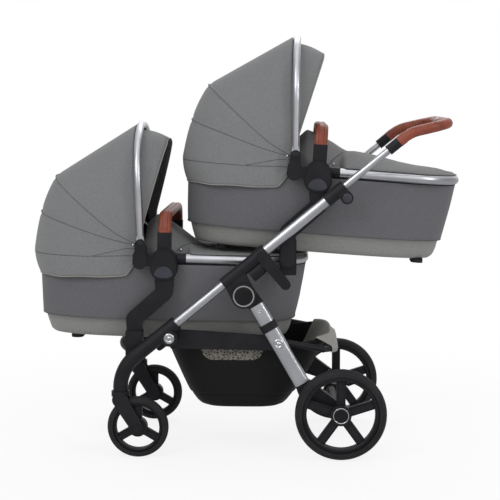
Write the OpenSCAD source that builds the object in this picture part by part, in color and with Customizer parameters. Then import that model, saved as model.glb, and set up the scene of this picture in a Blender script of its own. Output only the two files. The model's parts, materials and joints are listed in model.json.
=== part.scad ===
// Tandem twin pram: a folding tube chassis that carries two equal carrycots.
// +X points to the push handle, +Y to the far side, +Z up, and the floor is Z 0.

/* [Frame] */
// Half the distance between the two side frames
side_y = 264; // [258:1:272]
// Slope of the side frame above the floor, in degrees
frame_slope = 39.4; // [38:0.1:41]
// Front end of the hub housing, along the pram
line_x = -59; // [-65:1:-53]
// Front end of the hub housing, above the floor
line_z = 553; // [547:1:559]
// Outer diameter of the main tubes
main_tube_d = 34; // [30:1:36]
// Outer diameter of the front tubes
front_tube_d = 30; // [26:1:34]
// Wall of the round tubes
tube_wall = 2; // [1.5:0.5:3]
// Length of the hub housing along the frame
housing_len = 132; // [126:1:136]
// Distance from the hub housing to the end of the main tube's visible part
main_tube_len = 284; // [276:1:292]
// Length of the front tubes between housing and front arm
front_tube_len = 193; // [185:1:200]
// Diameter of the front arm casting
arm_d = 46; // [42:1:50]
// Bend radius of the front arm
arm_bend_r = 130; // [110:1:140]
// Diameter of the bowed front cross-bar
crossbar_d = 26; // [20:1:30]

/* [Fold] */
// Fold pivot, along the pram
pivot_x = 4.7; // [0:0.1:9]
// Fold pivot, above the floor
pivot_z = 518.7; // [514:0.1:523]
// Radius of the pivot boss
boss_r = 39.5; // [36:0.5:42]
// Radius of the pivot pin
pivot_pin_r = 10; // [8:0.5:12]
// Reach of the fold lever's arm below the tube
lever_reach = 122; // [110:1:130]
// Width of the fold lever's arm
lever_w = 32; // [28:1:36]

/* [Rear frame] */
// Width of the flat-oval rear leg
leg_w = 50; // [44:1:54]
// Thickness of the flat-oval rear leg
leg_t = 26; // [22:1:28]
// Length of the rear leg
leg_len = 289; // [284:1:294]
// Angle of the rear leg from upright, in degrees
leg_rake = 30.3; // [29:0.1:31]
// Diameter of the axle beam
beam_d = 34; // [28:1:38]

/* [Wheels] */
// Radius of the rear tyre
rear_r = 145; // [140:1:150]
// Rear axle, along the pram
rear_x = 311; // [306:1:316]
// Half the rear track
rear_y = 285; // [284:1:292]
// Width of the rear tyre
rear_tyre_w = 46; // [40:1:46]
// Radius of the front tyre
front_r = 97.5; // [94:0.5:100]
// Swivel axis, along the pram
swivel_x = -387; // [-392:1:-382]
// Trail of the front wheel behind its swivel
trail = 55; // [48:1:58]
// Width of the front tyre
front_tyre_w = 38; // [34:1:42]
// Radius of the wheel axles
axle_r = 6; // [5:0.5:7]

/* [Handle] */
// Outer diameter of the telescopic tubes
slide_tube_d = 22; // [20:1:25]
// Outer diameter of the covered grip
grip_d = 33; // [30:1:36]
// Height of the telescopic tube's end above the upper cot's hub
grip_rise = 69; // [63:1:73]
// Length of the black ferrule
ferrule_len = 43; // [38:1:48]
// Slope of the grip's cross-bar end, in degrees
grip_slope = 13; // [10:0.5:16]
// Plan radius of the grip's corners
grip_corner_r = 75; // [60:1:90]

/* [Basket] */
// Lowest point of the basket
basket_bottom = 150; // [140:1:160]
// Height of the basket's rim
basket_top = 356; // [350:1:357]
// Half the width of the basket inside its rails
basket_half_w = 213.7; // [208:0.1:213.7]
// Thickness of the rail plates
rail_t = 16; // [12:1:18]

/* [Cots] */
// Hub of the lower cot, along the pram
low_hub_x = -250; // [-254:1:-246]
// Hub of the lower cot, above the floor
low_hub_z = 627; // [625:1:632]
// Tilt of the lower cot, head end up, in degrees
low_tilt = 1.2; // [0.8:0.1:1.6]
// Hub of the upper cot, along the pram
high_hub_x = 239; // [235:1:243]
// Hub of the upper cot, above the floor
high_hub_z = 906; // [903:1:912]
// Tilt of the upper cot, head end up, in degrees
high_tilt = 4.2; // [3.8:0.1:4.6]
// Head end of the cot from its hub
head_len = 426; // [420:1:432]
// Foot end of the cot from its hub
foot_len = 453; // [445:1:458]
// Depth of the cot below its hub
cot_depth = 261; // [255:1:262]
// Half the width of the cot at its rim
cot_half_w = 202; // [196:1:203]
// Wall of the cot shell with its padding
cot_wall = 8; // [5:1:12]
// Diameter of the rim tube
rim_d = 30; // [26:1:32]
// Half the distance between the adaptor posts
hub_y = 223; // [222:0.5:224]
// Radius of the cot hub
hub_r = 38; // [36:0.5:40]
// Thickness of the cot hub
hub_t = 40; // [38:1:41]
// Height of the carry handle above the hub
carry_height = 152; // [142:1:160]

/* [Hood] */
// Height of the hood bow's top above the hub
bow_height = 432; // [420:1:440]
// Diameter of the hood bow
bow_d = 24; // [20:1:26]
// Thickness of the hood cloth with its lining
hood_t = 4; // [3:0.5:6]
// Reach of the visor in front of the bow
visor_reach = 90; // [70:1:92]
// Lowest edge of the hood's skirt below the hub
skirt_drop = 58; // [50:1:64]

/* [Fits] */
// Radial clearance of a running or push fit
fit = 0.05; // [0.03:0.01:0.1]
// Gap between pieces that move past each other
gap = 0.3; // [0.2:0.05:0.5]

/* [Hidden] */
$fn = 48;
black = "#2a2a30";
silver = "#b9babd";
chrome = "#d8d8da";
leather = "#96472f";
rubber = "#26262a";
cloth = "#6c6c70";

slope_c = cos(frame_slope);
slope_s = sin(frame_slope);
front_y = side_y;
rear_axle_r = 8;
insert = 30;
leg_y = side_y - 16;
post_w = 44;
post_t = 24;
peg_w = 36;
peg_t = 14;
adaptor_step = 96;
peg_reach = 30;
socket_floor = 6;
receiver_w = 54;
receiver_t = 36;
low_socket = [302, 400];
high_socket = [580, 690];
arm_bottom = 213;
rivet = along(-front_tube_len - 46.4, 22.05);
rivet_pad = side_y + arm_d / 2 + 0.5;
rivet_seat = side_y - arm_d / 2 - 2;
basket_front = -258.7;
basket_back = 280;
crossbar_bow = 55;
crossbar_z = 330;

// A point on the side frame's line: s along it from the housing, drop square below it
function along(s, drop = 0) = [line_x + s * slope_c + drop * slope_s, line_z + s * slope_s - drop * slope_c];
function at_y(p, y) = [p[0], y, p[1]];
function unit(v) = v / norm(v);
function smooth(t) = let(k = min(1, max(0, t))) k * k * (3 - 2 * k);
function mix(a, b, t) = a + (b - a) * t;
// A boxy oval seen from above, with n corners' sharpness
function oval(x0, x1, half, n, count, z) = [for (i = [0 : count - 1]) let(c = cos(360 * i / count),
    s = sin(360 * i / count)) [(x0 + x1) / 2 + (x1 - x0) / 2 * sign(c) * pow(abs(c), 2 / n),
    half * sign(s) * pow(abs(s), 2 / n), z]];

module both() {
    children();
    mirror([0, 1, 0]) children();
}

module rod(p, q, d) {
    v = q - p;
    translate(p) rotate([0, acos(v[2] / norm(v)), atan2(v[1], v[0])]) cylinder(h = norm(v), d = d);
}

// Extrudes an X-Z outline from y0 to y1
module xz(y0, y1) {
    translate([0, y1, 0]) rotate([90, 0, 0]) linear_extrude(y1 - y0) children();
}

// A pin across the pram at an X-Z point
module pin(p, r, y0, y1) {
    translate([p[0], y1, p[1]]) rotate([90, 0, 0]) cylinder(h = y1 - y0, r = r);
}

// A straight bar with round ends of two radii
module bar(a, b, ra, rb) {
    v = b - a;
    turn = atan2(v[1], v[0]);
    lean = acos((ra - rb) / norm(v));
    polygon([a + ra * [cos(turn + lean), sin(turn + lean)], b + rb * [cos(turn + lean), sin(turn + lean)],
        b + rb * [cos(turn - lean), sin(turn - lean)], a + ra * [cos(turn - lean), sin(turn - lean)]]);
    translate(a) circle(ra);
    translate(b) circle(rb);
}

// A flat oval, w across and t thick
module stadium(w, t) {
    square([w - t, t], center = true);
    for (k = [-1, 1]) translate([k * (w - t) / 2, 0]) circle(d = t);
}

// A round-section arc in the X-Z plane
module arc_xz(c, y, r, from, turn, d) {
    translate([c[0], y, c[1]]) rotate([90, 0, 0]) rotate([0, 0, from]) rotate_extrude(angle = turn)
        translate([r, 0]) circle(d = d);
}

// A closed skin through rings of equal point counts
module loft(rings) {
    n = len(rings[0]);
    last = len(rings) - 1;
    sides = [for (k = [0 : last - 1], i = [0 : n - 1], h = [0, 1]) let(j = (i + 1) % n)
        h == 0 ? [k * n + i, (k + 1) * n + i, (k + 1) * n + j] : [k * n + i, (k + 1) * n + j, k * n + j]];
    caps = [[for (i = [0 : n - 1]) i], [for (i = [n - 1 : -1 : 0]) last * n + i]];
    polyhedron([for (ring = rings) each ring], concat(sides, caps), convexity = 6);
}

// A sheet with two faces, given as equal grids of rows of points
module sheet(face, back) {
    rows = len(face);
    cols = len(face[0]);
    all = rows * cols;
    quads = [for (r = [0 : rows - 2], c = [0 : cols - 2]) [r * cols + c, r * cols + c + 1,
        (r + 1) * cols + c + 1, (r + 1) * cols + c]];
    edge = concat([for (c = [0 : cols - 2]) c], [for (r = [0 : rows - 2]) r * cols + cols - 1],
        [for (c = [cols - 1 : -1 : 1]) (rows - 1) * cols + c], [for (r = [rows - 1 : -1 : 1]) r * cols]);
    tris = [for (q = quads) each [[q[0], q[2], q[1]], [q[0], q[3], q[2]],
        [all + q[0], all + q[1], all + q[2]], [all + q[0], all + q[2], all + q[3]]]];
    rim = [for (i = [0 : len(edge) - 1]) let(a = edge[i], b = edge[(i + 1) % len(edge)])
        each [[a, b, all + b], [a, all + b, all + a]]];
    polyhedron(concat([for (r = face) each r], [for (r = back) each r]), concat(tris, rim), convexity = 6);
}

// Stations along the side frame, measured from the housing's front end
lever_s = housing_len + 0.5 + gap;
lever_len = 39;
tube_top = housing_len + main_tube_len;
collar_len = 75;
slide_in = 110;
pivot = [pivot_x, pivot_z];
boss_in = side_y;
boss_out = side_y + 20;
leg_dir = [sin(leg_rake), -cos(leg_rake)];
leg_side = [cos(leg_rake), sin(leg_rake)];
leg_offset = 16.6;
leg_start = 47.6;
leg_top = pivot + leg_dir * leg_start + leg_side * leg_offset;
leg_end = leg_top + leg_dir * leg_len;
axle = [rear_x, rear_r];

module main_tubes() {
    color(silver) both() difference() {
        rod(at_y(along(60), side_y), at_y(along(tube_top + insert), side_y), main_tube_d);
        rod(at_y(along(59), side_y), at_y(along(tube_top + insert + 1), side_y), main_tube_d - 2 * tube_wall);
    }
}

// The housing joins both tubes and carries the fold pivot on a boss below them
module hub_housings() {
    foot = along(27);
    reach = norm(pivot - foot);
    color(black) both() difference() {
        union() {
            rod(at_y(along(0), side_y), at_y(along(housing_len), side_y), main_tube_d + 8);
            rod(at_y(along(84, 34), side_y - 6), at_y(along(housing_len - 1, 34), side_y - 6), 44);
            xz(boss_in, boss_out - 4) polygon([along(2), along(80), along(27 + boss_r, reach),
                along(27 - boss_r, reach)]);
            pin(pivot, boss_r, boss_in, boss_out);
            pin(pivot, pivot_pin_r, leg_y - leg_t / 2 - 1, boss_in + 1);
            pin(pivot, pivot_pin_r + 6, leg_y - leg_t / 2 - 3, leg_y - leg_t / 2 + 1 - gap);
        }
        rod(at_y(along(-1), side_y), at_y(along(insert), side_y), front_tube_d + 2 * fit);
        rod(at_y(along(60 - fit), side_y), at_y(along(housing_len + 1), side_y), main_tube_d + 2 * fit);
        pin(pivot, boss_r - 6, boss_out - 2, boss_out + 1);
    }
}

// Plain bright ring and dark disc let into the pivot boss
module hub_badges() {
    color(chrome) both() difference() {
        pin(pivot, boss_r - 6 - fit, boss_out - 2, boss_out + 1);
        pin(pivot, boss_r - 10, boss_out - 1, boss_out + 2);
    }
}

module front_tubes() {
    color(silver) both() difference() {
        rod(at_y(along(-front_tube_len - insert), side_y), at_y(along(insert - fit), side_y), front_tube_d);
        rod(at_y(along(-front_tube_len - insert - 1), side_y), at_y(along(insert + 1), side_y),
            front_tube_d - 2 * tube_wall);
    }
}

// An open-topped pocket for an adaptor post, on the inner side of the frame
module receiver(x, span, y1) {
    difference() {
        xz(hub_y - receiver_t / 2, y1) {
            translate([x - receiver_w / 2, span[0] + socket_floor])
                square([receiver_w, span[1] - span[0] - socket_floor]);
            translate([x - receiver_w / 2 + socket_floor, span[0]])
                square([receiver_w - 2 * socket_floor, socket_floor]);
            for (k = [-1, 1]) translate([x + k * (receiver_w / 2 - socket_floor), span[0] + socket_floor])
                circle(socket_floor);
        }
        translate([x - post_w / 2 - gap, hub_y - post_t / 2 - gap, span[0] + socket_floor])
            cube([post_w + 2 * gap, post_t + 2 * gap, span[1] - span[0]]);
    }
}

// Front arm: straight along the frame line, then bent down to the swivel
module front_arms() {
    turn = 90 - frame_slope;
    corner = (swivel_x - line_x) / slope_c;
    bend = corner + arm_bend_r * tan(turn / 2);
    centre = along(bend, arm_bend_r);
    socket_x = low_hub_x - adaptor_step;
    color(black) both() difference() {
        union() {
            rod(at_y(along(-front_tube_len), side_y), at_y(along(bend - 3), side_y), arm_d);
            arc_xz(centre, side_y, arm_bend_r, 90 + frame_slope, turn, arm_d + 1);
            translate([swivel_x, side_y, arm_bottom]) cylinder(h = centre[1] + 3 - arm_bottom, d = arm_d);
            pin(rivet, 26, rivet_seat, rivet_pad);
            receiver(socket_x, low_socket, side_y - arm_d / 2 + 6);
        }
        rod(at_y(along(-front_tube_len + 1), side_y), at_y(along(-front_tube_len - insert - fit), side_y),
            front_tube_d + 2 * fit);
        translate([swivel_x, side_y, arm_bottom - 1]) cylinder(h = 45, r = 9 + fit);
        pin(rivet, 12, rivet_pad - 3, rivet_pad + 1);
    }
}

// Bowed tie between the two front arms
module front_crossbar() {
    reach = hub_y - receiver_t / 2;
    end_x = low_hub_x - adaptor_step - 4;
    r = (reach * reach + crossbar_bow * crossbar_bow) / (2 * crossbar_bow);
    half = asin(reach / r) + 4;
    color(black) intersection() {
        translate([end_x - crossbar_bow + r, 0, crossbar_z]) rotate([0, 0, 180 - half])
            rotate_extrude(angle = 2 * half) translate([r, 0]) circle(d = crossbar_d);
        translate([-700, -reach, 0]) cube([700, 2 * reach, 600]);
    }
}

// Saddle on the inner side of the main tube with the pocket for the upper posts
module receivers() {
    socket_x = high_hub_x - adaptor_step;
    color(black) both() difference() {
        union() {
            receiver(socket_x, high_socket, hub_y + receiver_t / 2);
            xz(hub_y + receiver_t / 2 - 2.5, side_y - 12)
                bar([socket_x, high_socket[0] + 50], along(262, 2), 24, 22);
        }
        rod(at_y(along(150), side_y), at_y(along(350), side_y), main_tube_d + 2 * fit);
    }
}

// S-shaped post: it stands in a receiver and ends in a peg inside the cot hub
module adaptor(hub, socket) {
    top = hub - [0, lobe_drop + gap];
    knee = hub - [0, 106];
    ankle = hub - [adaptor_step, 190];
    foot_z = socket[0] + socket_floor + gap;
    shoulder = socket[1] + gap;
    root = 10;
    both() {
        xz(hub_y - post_t / 2 - 1, hub_y + post_t / 2 + 1) difference() {
            union() {
                bar(top - [0, 2], knee, 30, 26);
                bar(knee, ankle, 26, 26);
                bar(ankle, ankle - [0, 30], 26, 24);
            }
            translate(top - [60, 0]) square([120, 60]);
            translate([ankle[0] - 60, shoulder - 80]) square([120, 80]);
        }
        translate([ankle[0] - post_w / 2, hub_y - post_t / 2, foot_z])
            cube([post_w, post_t, shoulder + root - foot_z]);
        translate([hub[0] - peg_w / 2, hub_y - peg_t / 2, top[1] - root])
            cube([peg_w, peg_t, lobe_drop + gap + root - peg_reach]);
    }
}

module lower_adaptors() {
    color(black) adaptor([low_hub_x, low_hub_z], low_socket);
}

module upper_adaptors() {
    color(black) adaptor([high_hub_x, high_hub_z], high_socket);
}

// Rail plates from the front arms, a tie in front and a bowed bar behind
module basket_rail() {
    y0 = basket_half_w + gap;
    rear = [116, basket_top + 9];
    tail = [[rear[0], y0 + 8, rear[1]], [basket_back - 25, y0 + 2, basket_top - 16],
        [basket_back + 13, y0 - 55, basket_top - 22]];
    tie = [basket_front - 7.3, basket_top - 11];
    tail_d = 20;
    color(black) {
        both() {
            xz(y0, y0 + rail_t) {
                bar(rivet, rear, 20, 17);
                polygon([rivet - [14, 10], rear + [0, -17], rear - [6, 27], rivet - [0, 42]]);
                bar(rivet, tie, 20, 10);
            }
            pin(rivet, 18, y0, rivet_seat);
            for (k = [0, 1]) rod(tail[k], tail[k + 1], tail_d);
            for (k = [1, 2]) translate(tail[k]) sphere(d = tail_d + 1.5);
        }
        rod([tail[2][0], -tail[2][1], tail[2][2]], tail[2], tail_d);
        rod([tie[0], -y0 - 1, tie[1]], [tie[0], y0 + 1, tie[1]], 14);
    }
}

// Soft tub: wide at the rim, drawn in to a flat base, higher at the back
module basket() {
    wall = 4;
    function ring(f, in) = let(z = mix(basket_bottom + in, basket_top, f), bulge = 12 * sin(180 * f),
        o = oval(mix(-139, basket_front, f) + in, mix(131, basket_back, pow(f, 0.8)) - in,
            mix(170, basket_half_w, pow(f, 0.6)) - in, 4, 40, z))
        [for (p = o) [p[0] - sign(p[0]) * bulge * 0.3, p[1], p[2] + 14 * f * f * smooth((p[0] - 150) / 120)]];
    steps = [0, 0.12, 0.35, 0.65, 1];
    color("#1a1a1d") loft(concat([for (f = steps) ring(f, 0)],
        [for (k = [4 : -1 : 0]) ring(steps[k], wall)]));
}

// Collar that guides the telescopic tube, with an ear and a round stud below
module handle_collars() {
    ear_at = tube_top + collar_len * 0.76;
    ear = along(ear_at, 33);
    color(black) both() difference() {
        union() {
            rod(at_y(along(tube_top), side_y), at_y(along(tube_top + collar_len), side_y), main_tube_d + 7);
            xz(side_y - 6, side_y + 18) bar(along(ear_at, 6), ear, 17, 19.5);
            pin(ear, 15, side_y + 17, side_y + 20);
        }
        rod(at_y(along(tube_top - 1), side_y), at_y(along(tube_top + insert + fit), side_y),
            main_tube_d + 2 * fit);
        rod(at_y(along(tube_top), side_y), at_y(along(tube_top + collar_len + 1), side_y),
            slide_tube_d + 2 * fit);
    }
}

module frame_rivets() {
    color(chrome) both() {
        pin(rivet, 12 - fit, rivet_pad - 3, rivet_pad);
        pin(rivet, 16.5, rivet_pad, rivet_pad + 3);
        pin(along(12 - front_tube_len), 5, side_y + front_tube_d / 2 + fit, side_y + front_tube_d / 2 + 2);
    }
}

// Sleeve round the main tube with an arm that the hand pulls up towards the handle
module fold_lever(side) {
    mid = lever_s + lever_len / 2;
    tip = along(mid, lever_reach);
    out = side_y + main_tube_d / 2 + 6;
    color(black) scale_y(side) difference() {
        union() {
            rod(at_y(along(lever_s), side_y), at_y(along(lever_s + lever_len), side_y), main_tube_d + 12);
            xz(out - 12, out) bar(along(mid, 8), tip, lever_w / 2 + 3, lever_w / 2);
            pin(tip, 11, out - 1, out + 1.5);
        }
        rod(at_y(along(lever_s - 1), side_y), at_y(along(lever_s + lever_len + 1), side_y),
            main_tube_d + 4 * fit);
    }
}

// Draws a near-side piece (side -1) as the mirror of the far one (side 1)
module scale_y(side) {
    mirror([0, side < 0 ? 1 : 0, 0]) children();
}

// Places the leg's own frame: +Z down the leg, X across its width
module on_leg(s) {
    translate(at_y(leg_top + leg_dir * s, leg_y)) rotate([0, 180 - leg_rake, 0]) children();
}

leg_wall = 2.5;
module leg_plug(s) {
    on_leg(s) linear_extrude(insert) stadium(leg_w - 2 * leg_wall - 2 * fit, leg_t - 2 * leg_wall - 2 * fit);
}

// Knuckle that turns on the fold pivot, and the band lower down the leg
module rear_knuckles() {
    y0 = leg_y - leg_t / 2 + 1;
    half = leg_side * leg_w / 2;
    color(black) both() {
        difference() {
            union() {
                pin(pivot, boss_r - 2.5, y0, boss_in - gap);
                xz(y0, y0 + leg_t - 2) polygon([leg_top - half, leg_top + half, pivot + leg_side * 35,
                    pivot - leg_side * 30]);
                leg_plug(0);
            }
            pin(pivot, pivot_pin_r + fit, y0 - 1, boss_in);
        }
        on_leg(66) linear_extrude(26) difference() {
            stadium(leg_w + 6, leg_t + 6);
            stadium(leg_w + 2 * fit, leg_t + 2 * fit);
        }
    }
}

module rear_legs() {
    color(silver) both() on_leg(0) linear_extrude(leg_len) difference() {
        stadium(leg_w, leg_t);
        stadium(leg_w - 2 * leg_wall, leg_t - 2 * leg_wall);
    }
}

beam = axle + [-26, 27];
// Trailing castings, one with the beam that ties the rear frame across
module axle_beam() {
    y0 = leg_y - leg_t / 2 - 1;
    y1 = leg_y + leg_t / 2 - 1;
    half = leg_side * leg_w / 2;
    run = unit(axle - leg_end);
    across = [-run[1], run[0]] * 22;
    color(black) difference() {
        union() {
            both() {
                leg_plug(leg_len - insert);
                xz(y0, y1) {
                    polygon([leg_end - half, leg_end + half, axle + across, axle - across]);
                    translate(axle) circle(22);
                }
            }
            rod(at_y(beam, -y0 - 1), at_y(beam, y0 + 1), beam_d);
        }
        pin(axle, rear_axle_r + fit, -y1 - 1, y1 + 1);
    }
}

// Steel axle with its stubs, and the bright studs of the legs
module rear_axle() {
    out = leg_y + leg_t / 2;
    color(chrome) {
        pin(axle, rear_axle_r, 1 - out, out - 1);
        both() {
            pin(axle, axle_r, out - 2, rear_y + 16);
            pin(leg_top + leg_dir * 141, 16.5, out, out + 4);
        }
    }
}

// Foot pedal that turns on the axle beam
module brake_pedal() {
    tip = beam + [68, 24];
    color(black) difference() {
        union() {
            pin(beam, beam_d / 2 + 6, -45, 45);
            xz(-34, 34) bar(beam + [12, 10], tip, 8, 5);
            xz(-52, 52) bar(tip - [10, 3], tip + [6, 2], 6, 5);
        }
        pin(beam, beam_d / 2 + 2 * fit, -46, 46);
    }
}

// A wheel lying at the origin with its axle along Z and its outer face up
module wheel_rim(r_in, r_out, w, spokes, spoke_w, hub, first) {
    difference() {
        union() {
            rotate_extrude() polygon([[r_in, -w / 2 + 3], [r_in + 4, -w / 2], [r_out, -w / 2 + 2],
                [r_out, w / 2 - 2], [r_in + 4, w / 2], [r_in, w / 2 - 3]]);
            for (k = [0 : spokes - 1]) rotate([0, 0, first + 360 * k / spokes]) {
                translate([hub / 2, -spoke_w / 2, -8]) cube([r_in + 2 - hub / 2, spoke_w, 14]);
                translate([hub / 2, -spoke_w / 2 + 6, 5]) cube([r_in - 6 - hub / 2, spoke_w - 12, 4]);
                translate([r_in - 6, 0, 5]) cylinder(h = 4, r = spoke_w / 2 - 6);
            }
            translate([0, 0, -w / 2]) cylinder(h = w + 2, r = hub);
            translate([0, 0, w / 2]) cylinder(h = 5, r = hub - 7);
        }
        translate([0, 0, -w]) cylinder(h = w + rear_tyre_w / 2 - 6, r = axle_r + fit);
    }
}

module tyre(r, w, r_in) {
    rotate_extrude() intersection() {
        translate([r - w / 2, 0]) circle(d = w);
        translate([r_in, -w]) square([w, 2 * w]);
    }
}

rear_tyre_h = 22;
front_tyre_h = 18;
// Turns a lying wheel upright at an X-Z point, outer face to the far side
module upright(p, y) {
    translate([p[0], y, p[1]]) rotate([-90, 0, 0]) children();
}

module rear_rim(side) {
    color(black) scale_y(side) upright(axle, rear_y)
        wheel_rim(rear_r - rear_tyre_h - 15, rear_r - rear_tyre_h - fit, 34, 5, 29, 33, -90);
}

module rear_tyre(side) {
    color(rubber) scale_y(side) upright(axle, rear_y) tyre(rear_r, rear_tyre_w, rear_r - rear_tyre_h);
}

front_axle = [swivel_x + trail, front_r];
module front_rim(side) {
    color(black) scale_y(side) upright(front_axle, front_y) difference() {
        wheel_rim(front_r - front_tyre_h - 11, front_r - front_tyre_h - fit, 28, 3, 26, 30, -90);
        translate([0, 0, 15]) cylinder(h = 20, r = 40);
        translate([0, 0, -20]) cylinder(h = 60, r = axle_r + fit);
    }
}

module front_tyre(side) {
    color(rubber) scale_y(side) upright(front_axle, front_y)
        tyre(front_r, front_tyre_w, front_r - front_tyre_h);
}

// Two-armed fork with its stem in the front arm and the wheel's axle
module front_fork(side) {
    in = front_tyre_w / 2 + 2;
    out = in + 8;
    color(black) scale_y(side) {
        for (y = [front_y - out, front_y + in])
            xz(y, y + 8) bar([swivel_x, 188], front_axle, 24, 20);
        translate([swivel_x, front_y, 196]) cylinder(h = arm_bottom - gap - 196, r = out);
        translate([swivel_x, front_y, 200]) cylinder(h = arm_bottom + 40 - 200, r = 9);
        pin(front_axle, axle_r, front_y - in - 1, front_y + in + 1);
        pin(front_axle, 14, front_y + out - 1, front_y + out + 2);
    }
}

// Push handle: stations go on along the frame line from the collar
// The telescopic tube is cut to a whole millimetre
slide_end = round((high_hub_z + grip_rise - line_z) / slope_s);
grip_start = slide_end + ferrule_len;
grip_straight = 18;
grip_bend_r = 120;
grip_side_len = 21;
grip_centre = along(grip_start + grip_straight, grip_bend_r);
grip_knee = grip_centre + grip_bend_r * [-sin(grip_slope), cos(grip_slope)];
grip_bar = grip_knee + (grip_side_len + grip_corner_r) * [cos(grip_slope), sin(grip_slope)];
button_dir = [-0.84, 0.54];

module handle_tubes() {
    color(silver) both() difference() {
        rod(at_y(along(tube_top - slide_in), side_y), at_y(along(slide_end + 20), side_y), slide_tube_d);
        rod(at_y(along(tube_top - slide_in - 1), side_y), at_y(along(slide_end + 21), side_y),
            slide_tube_d - 2 * tube_wall);
    }
}

module handle_ferrules() {
    color(black) both() difference() {
        rod(at_y(along(slide_end), side_y), at_y(along(grip_start), side_y), grip_d);
        rod(at_y(along(slide_end - 1), side_y), at_y(along(slide_end + 20 + fit), side_y),
            slide_tube_d + 2 * fit);
    }
}

// Covered grip: a hemmed end, bent flatter than the frame line, then round to the cross-bar
module handle_grip() {
    bar_x = grip_side_len + grip_corner_r;
    color(leather) difference() {
        union() {
            both() rod(at_y(along(grip_start), side_y), at_y(along(grip_start + grip_straight + 2), side_y),
                grip_d + 1.5);
            translate(at_y(grip_knee, 0)) rotate([0, -grip_slope, 0]) {
                both() {
                    arc_xz([0, -grip_bend_r], side_y, grip_bend_r, 90, frame_slope - grip_slope, grip_d);
                    rod([0, side_y, 0], [grip_side_len, side_y, 0], grip_d);
                    translate([grip_side_len, side_y - grip_corner_r, 0]) rotate_extrude(angle = 90)
                        translate([grip_corner_r, 0]) circle(d = grip_d);
                }
                rod([bar_x, grip_corner_r - side_y, 0], [bar_x, side_y - grip_corner_r, 0], grip_d);
            }
        }
        rod(at_y(grip_bar + button_dir * 3, 0), at_y(grip_bar + button_dir * grip_d, 0), 18 + 4 * fit);
    }
}

module handle_button() {
    color(silver) rod(at_y(grip_bar + button_dir * 8, 0),
        at_y(grip_bar + button_dir * (grip_d / 2 + 4), 0), 18);
}

// Cot pieces are drawn about the cot's own hub: X to the foot end, Z up
rim_y = cot_half_w - 9;
rim_end = foot_len - 9;
rim_corner = 140;
rim_w = -rim_d / 2 - gap;
socket_end = 68;
elbow = [-77, -5];
hood_pivot = [-76, 47];
hood_pin_r = 4;
lobe_drop = 62;
carry_w = 44;
carry_t = 24;
carry_corner = 53;

module in_cot(upper) {
    translate(upper ? [high_hub_x, 0, high_hub_z] : [low_hub_x, 0, low_hub_z])
        rotate([0, upper ? high_tilt : low_tilt, 0]) children();
}

// Padded tub: a lower band drawn in under the body, open at the top
module cot_shell(upper) {
    seam = 61 - cot_depth;
    function ring(w, head, foot, half, in) = oval(in - head_len + head, foot_len - foot - in,
        cot_half_w - half - in, 3.2, 48, w);
    outside = [ring(-cot_depth, 44, 65, 30, 0), ring(9 - cot_depth, 36, 57, 22, 0),
        ring(seam - 3, 19, 42, 15, 0), ring(seam + 2, 9, 32, 5, 0),
        ring(-100, 3, 13, 1, 0), ring(rim_w, 0, 0, 0, 0)];
    inside = [ring(rim_w, 0, 0, 0, cot_wall), ring(-100, 3, 13, 1, cot_wall),
        ring(seam, 19, 42, 15, cot_wall), ring(cot_wall - cot_depth, 44, 65, 30, cot_wall)];
    color(cloth) in_cot(upper) loft(concat(outside, inside));
}

// Rim tube round the foot end, from socket to socket
module cot_rim(upper) {
    color(silver) in_cot(upper) {
        both() {
            rod([34, rim_y, 0], [rim_end - rim_corner, rim_y, 0], rim_d);
            translate([rim_end - rim_corner, rim_y - rim_corner, 0]) rotate_extrude(angle = 90)
                translate([rim_corner, 0]) circle(d = rim_d);
        }
        rod([rim_end, rim_corner - rim_y, 0], [rim_end, rim_y - rim_corner, 0], rim_d);
    }
}

// Crowned cover over the legs with a wind flap that stands up under the carry handle
module cot_apron(upper) {
    crest = upper ? [[-70, 96], [-45, 122], [-24, 114], [0, 104], [94, 62], [259, 42], [412, 26], [430, 10]]
        : [[-70, 96], [-45, 122], [-24, 114], [0, 100], [60, 56], [110, 20], [259, 14], [412, 10], [430, 4]];
    last = rim_end - rim_d / 2 - gap;
    round_x = last - rim_corner;
    clear_y = rim_y - rim_d / 2 - gap;
    edge = 4;
    function half_w(x) = x < round_x ? clear_y - 3 * (1 - smooth((x - socket_end) / 10))
        : clear_y * pow(1 - pow((x - round_x) / rim_corner, 2.6), 1 / 2.6);
    stations = [-70, -45, -24, 0, 40, 68, 80, 130, 200, 260, round_x, 350, 390, 412, last - 1.5];
    function row(x, drop) = [for (j = [-8 : 8]) let(t = j / 8)
        [x, t * half_w(x), edge - drop + lookup(x, crest) * (1 - pow(abs(t), 2.6))]];
    color(cloth) in_cot(upper) sheet([for (x = stations) row(x, 0)], [for (x = stations) row(x, 8)]);
}

module cot_mattress(upper) {
    floor_w = cot_wall - cot_depth;
    function ring(w, in) = oval(in - head_len + 58, foot_len - 95 - in, cot_half_w - 44 - in, 3.2, 40, w);
    color("#d9d8d4") in_cot(upper)
        loft([ring(floor_w, 8), ring(floor_w + 10, 0), ring(floor_w + 34, 0),
            ring(floor_w + 44, 14), ring(floor_w + 47, 60)]);
}

module cot_feet(upper) {
    foot_h = 12;
    color(rubber) in_cot(upper) for (x = [-290, 340], y = [-90, 90])
        translate([x, y, -cot_depth - foot_h]) rotate([0, 0, 90]) linear_extrude(foot_h) stadium(90, 38);
}

// Rounded D of the release button
module d_shape(grow) {
    intersection() {
        translate([0, -50]) circle(30 + grow);
        translate([0, -2]) circle(55 + grow);
    }
}

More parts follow.
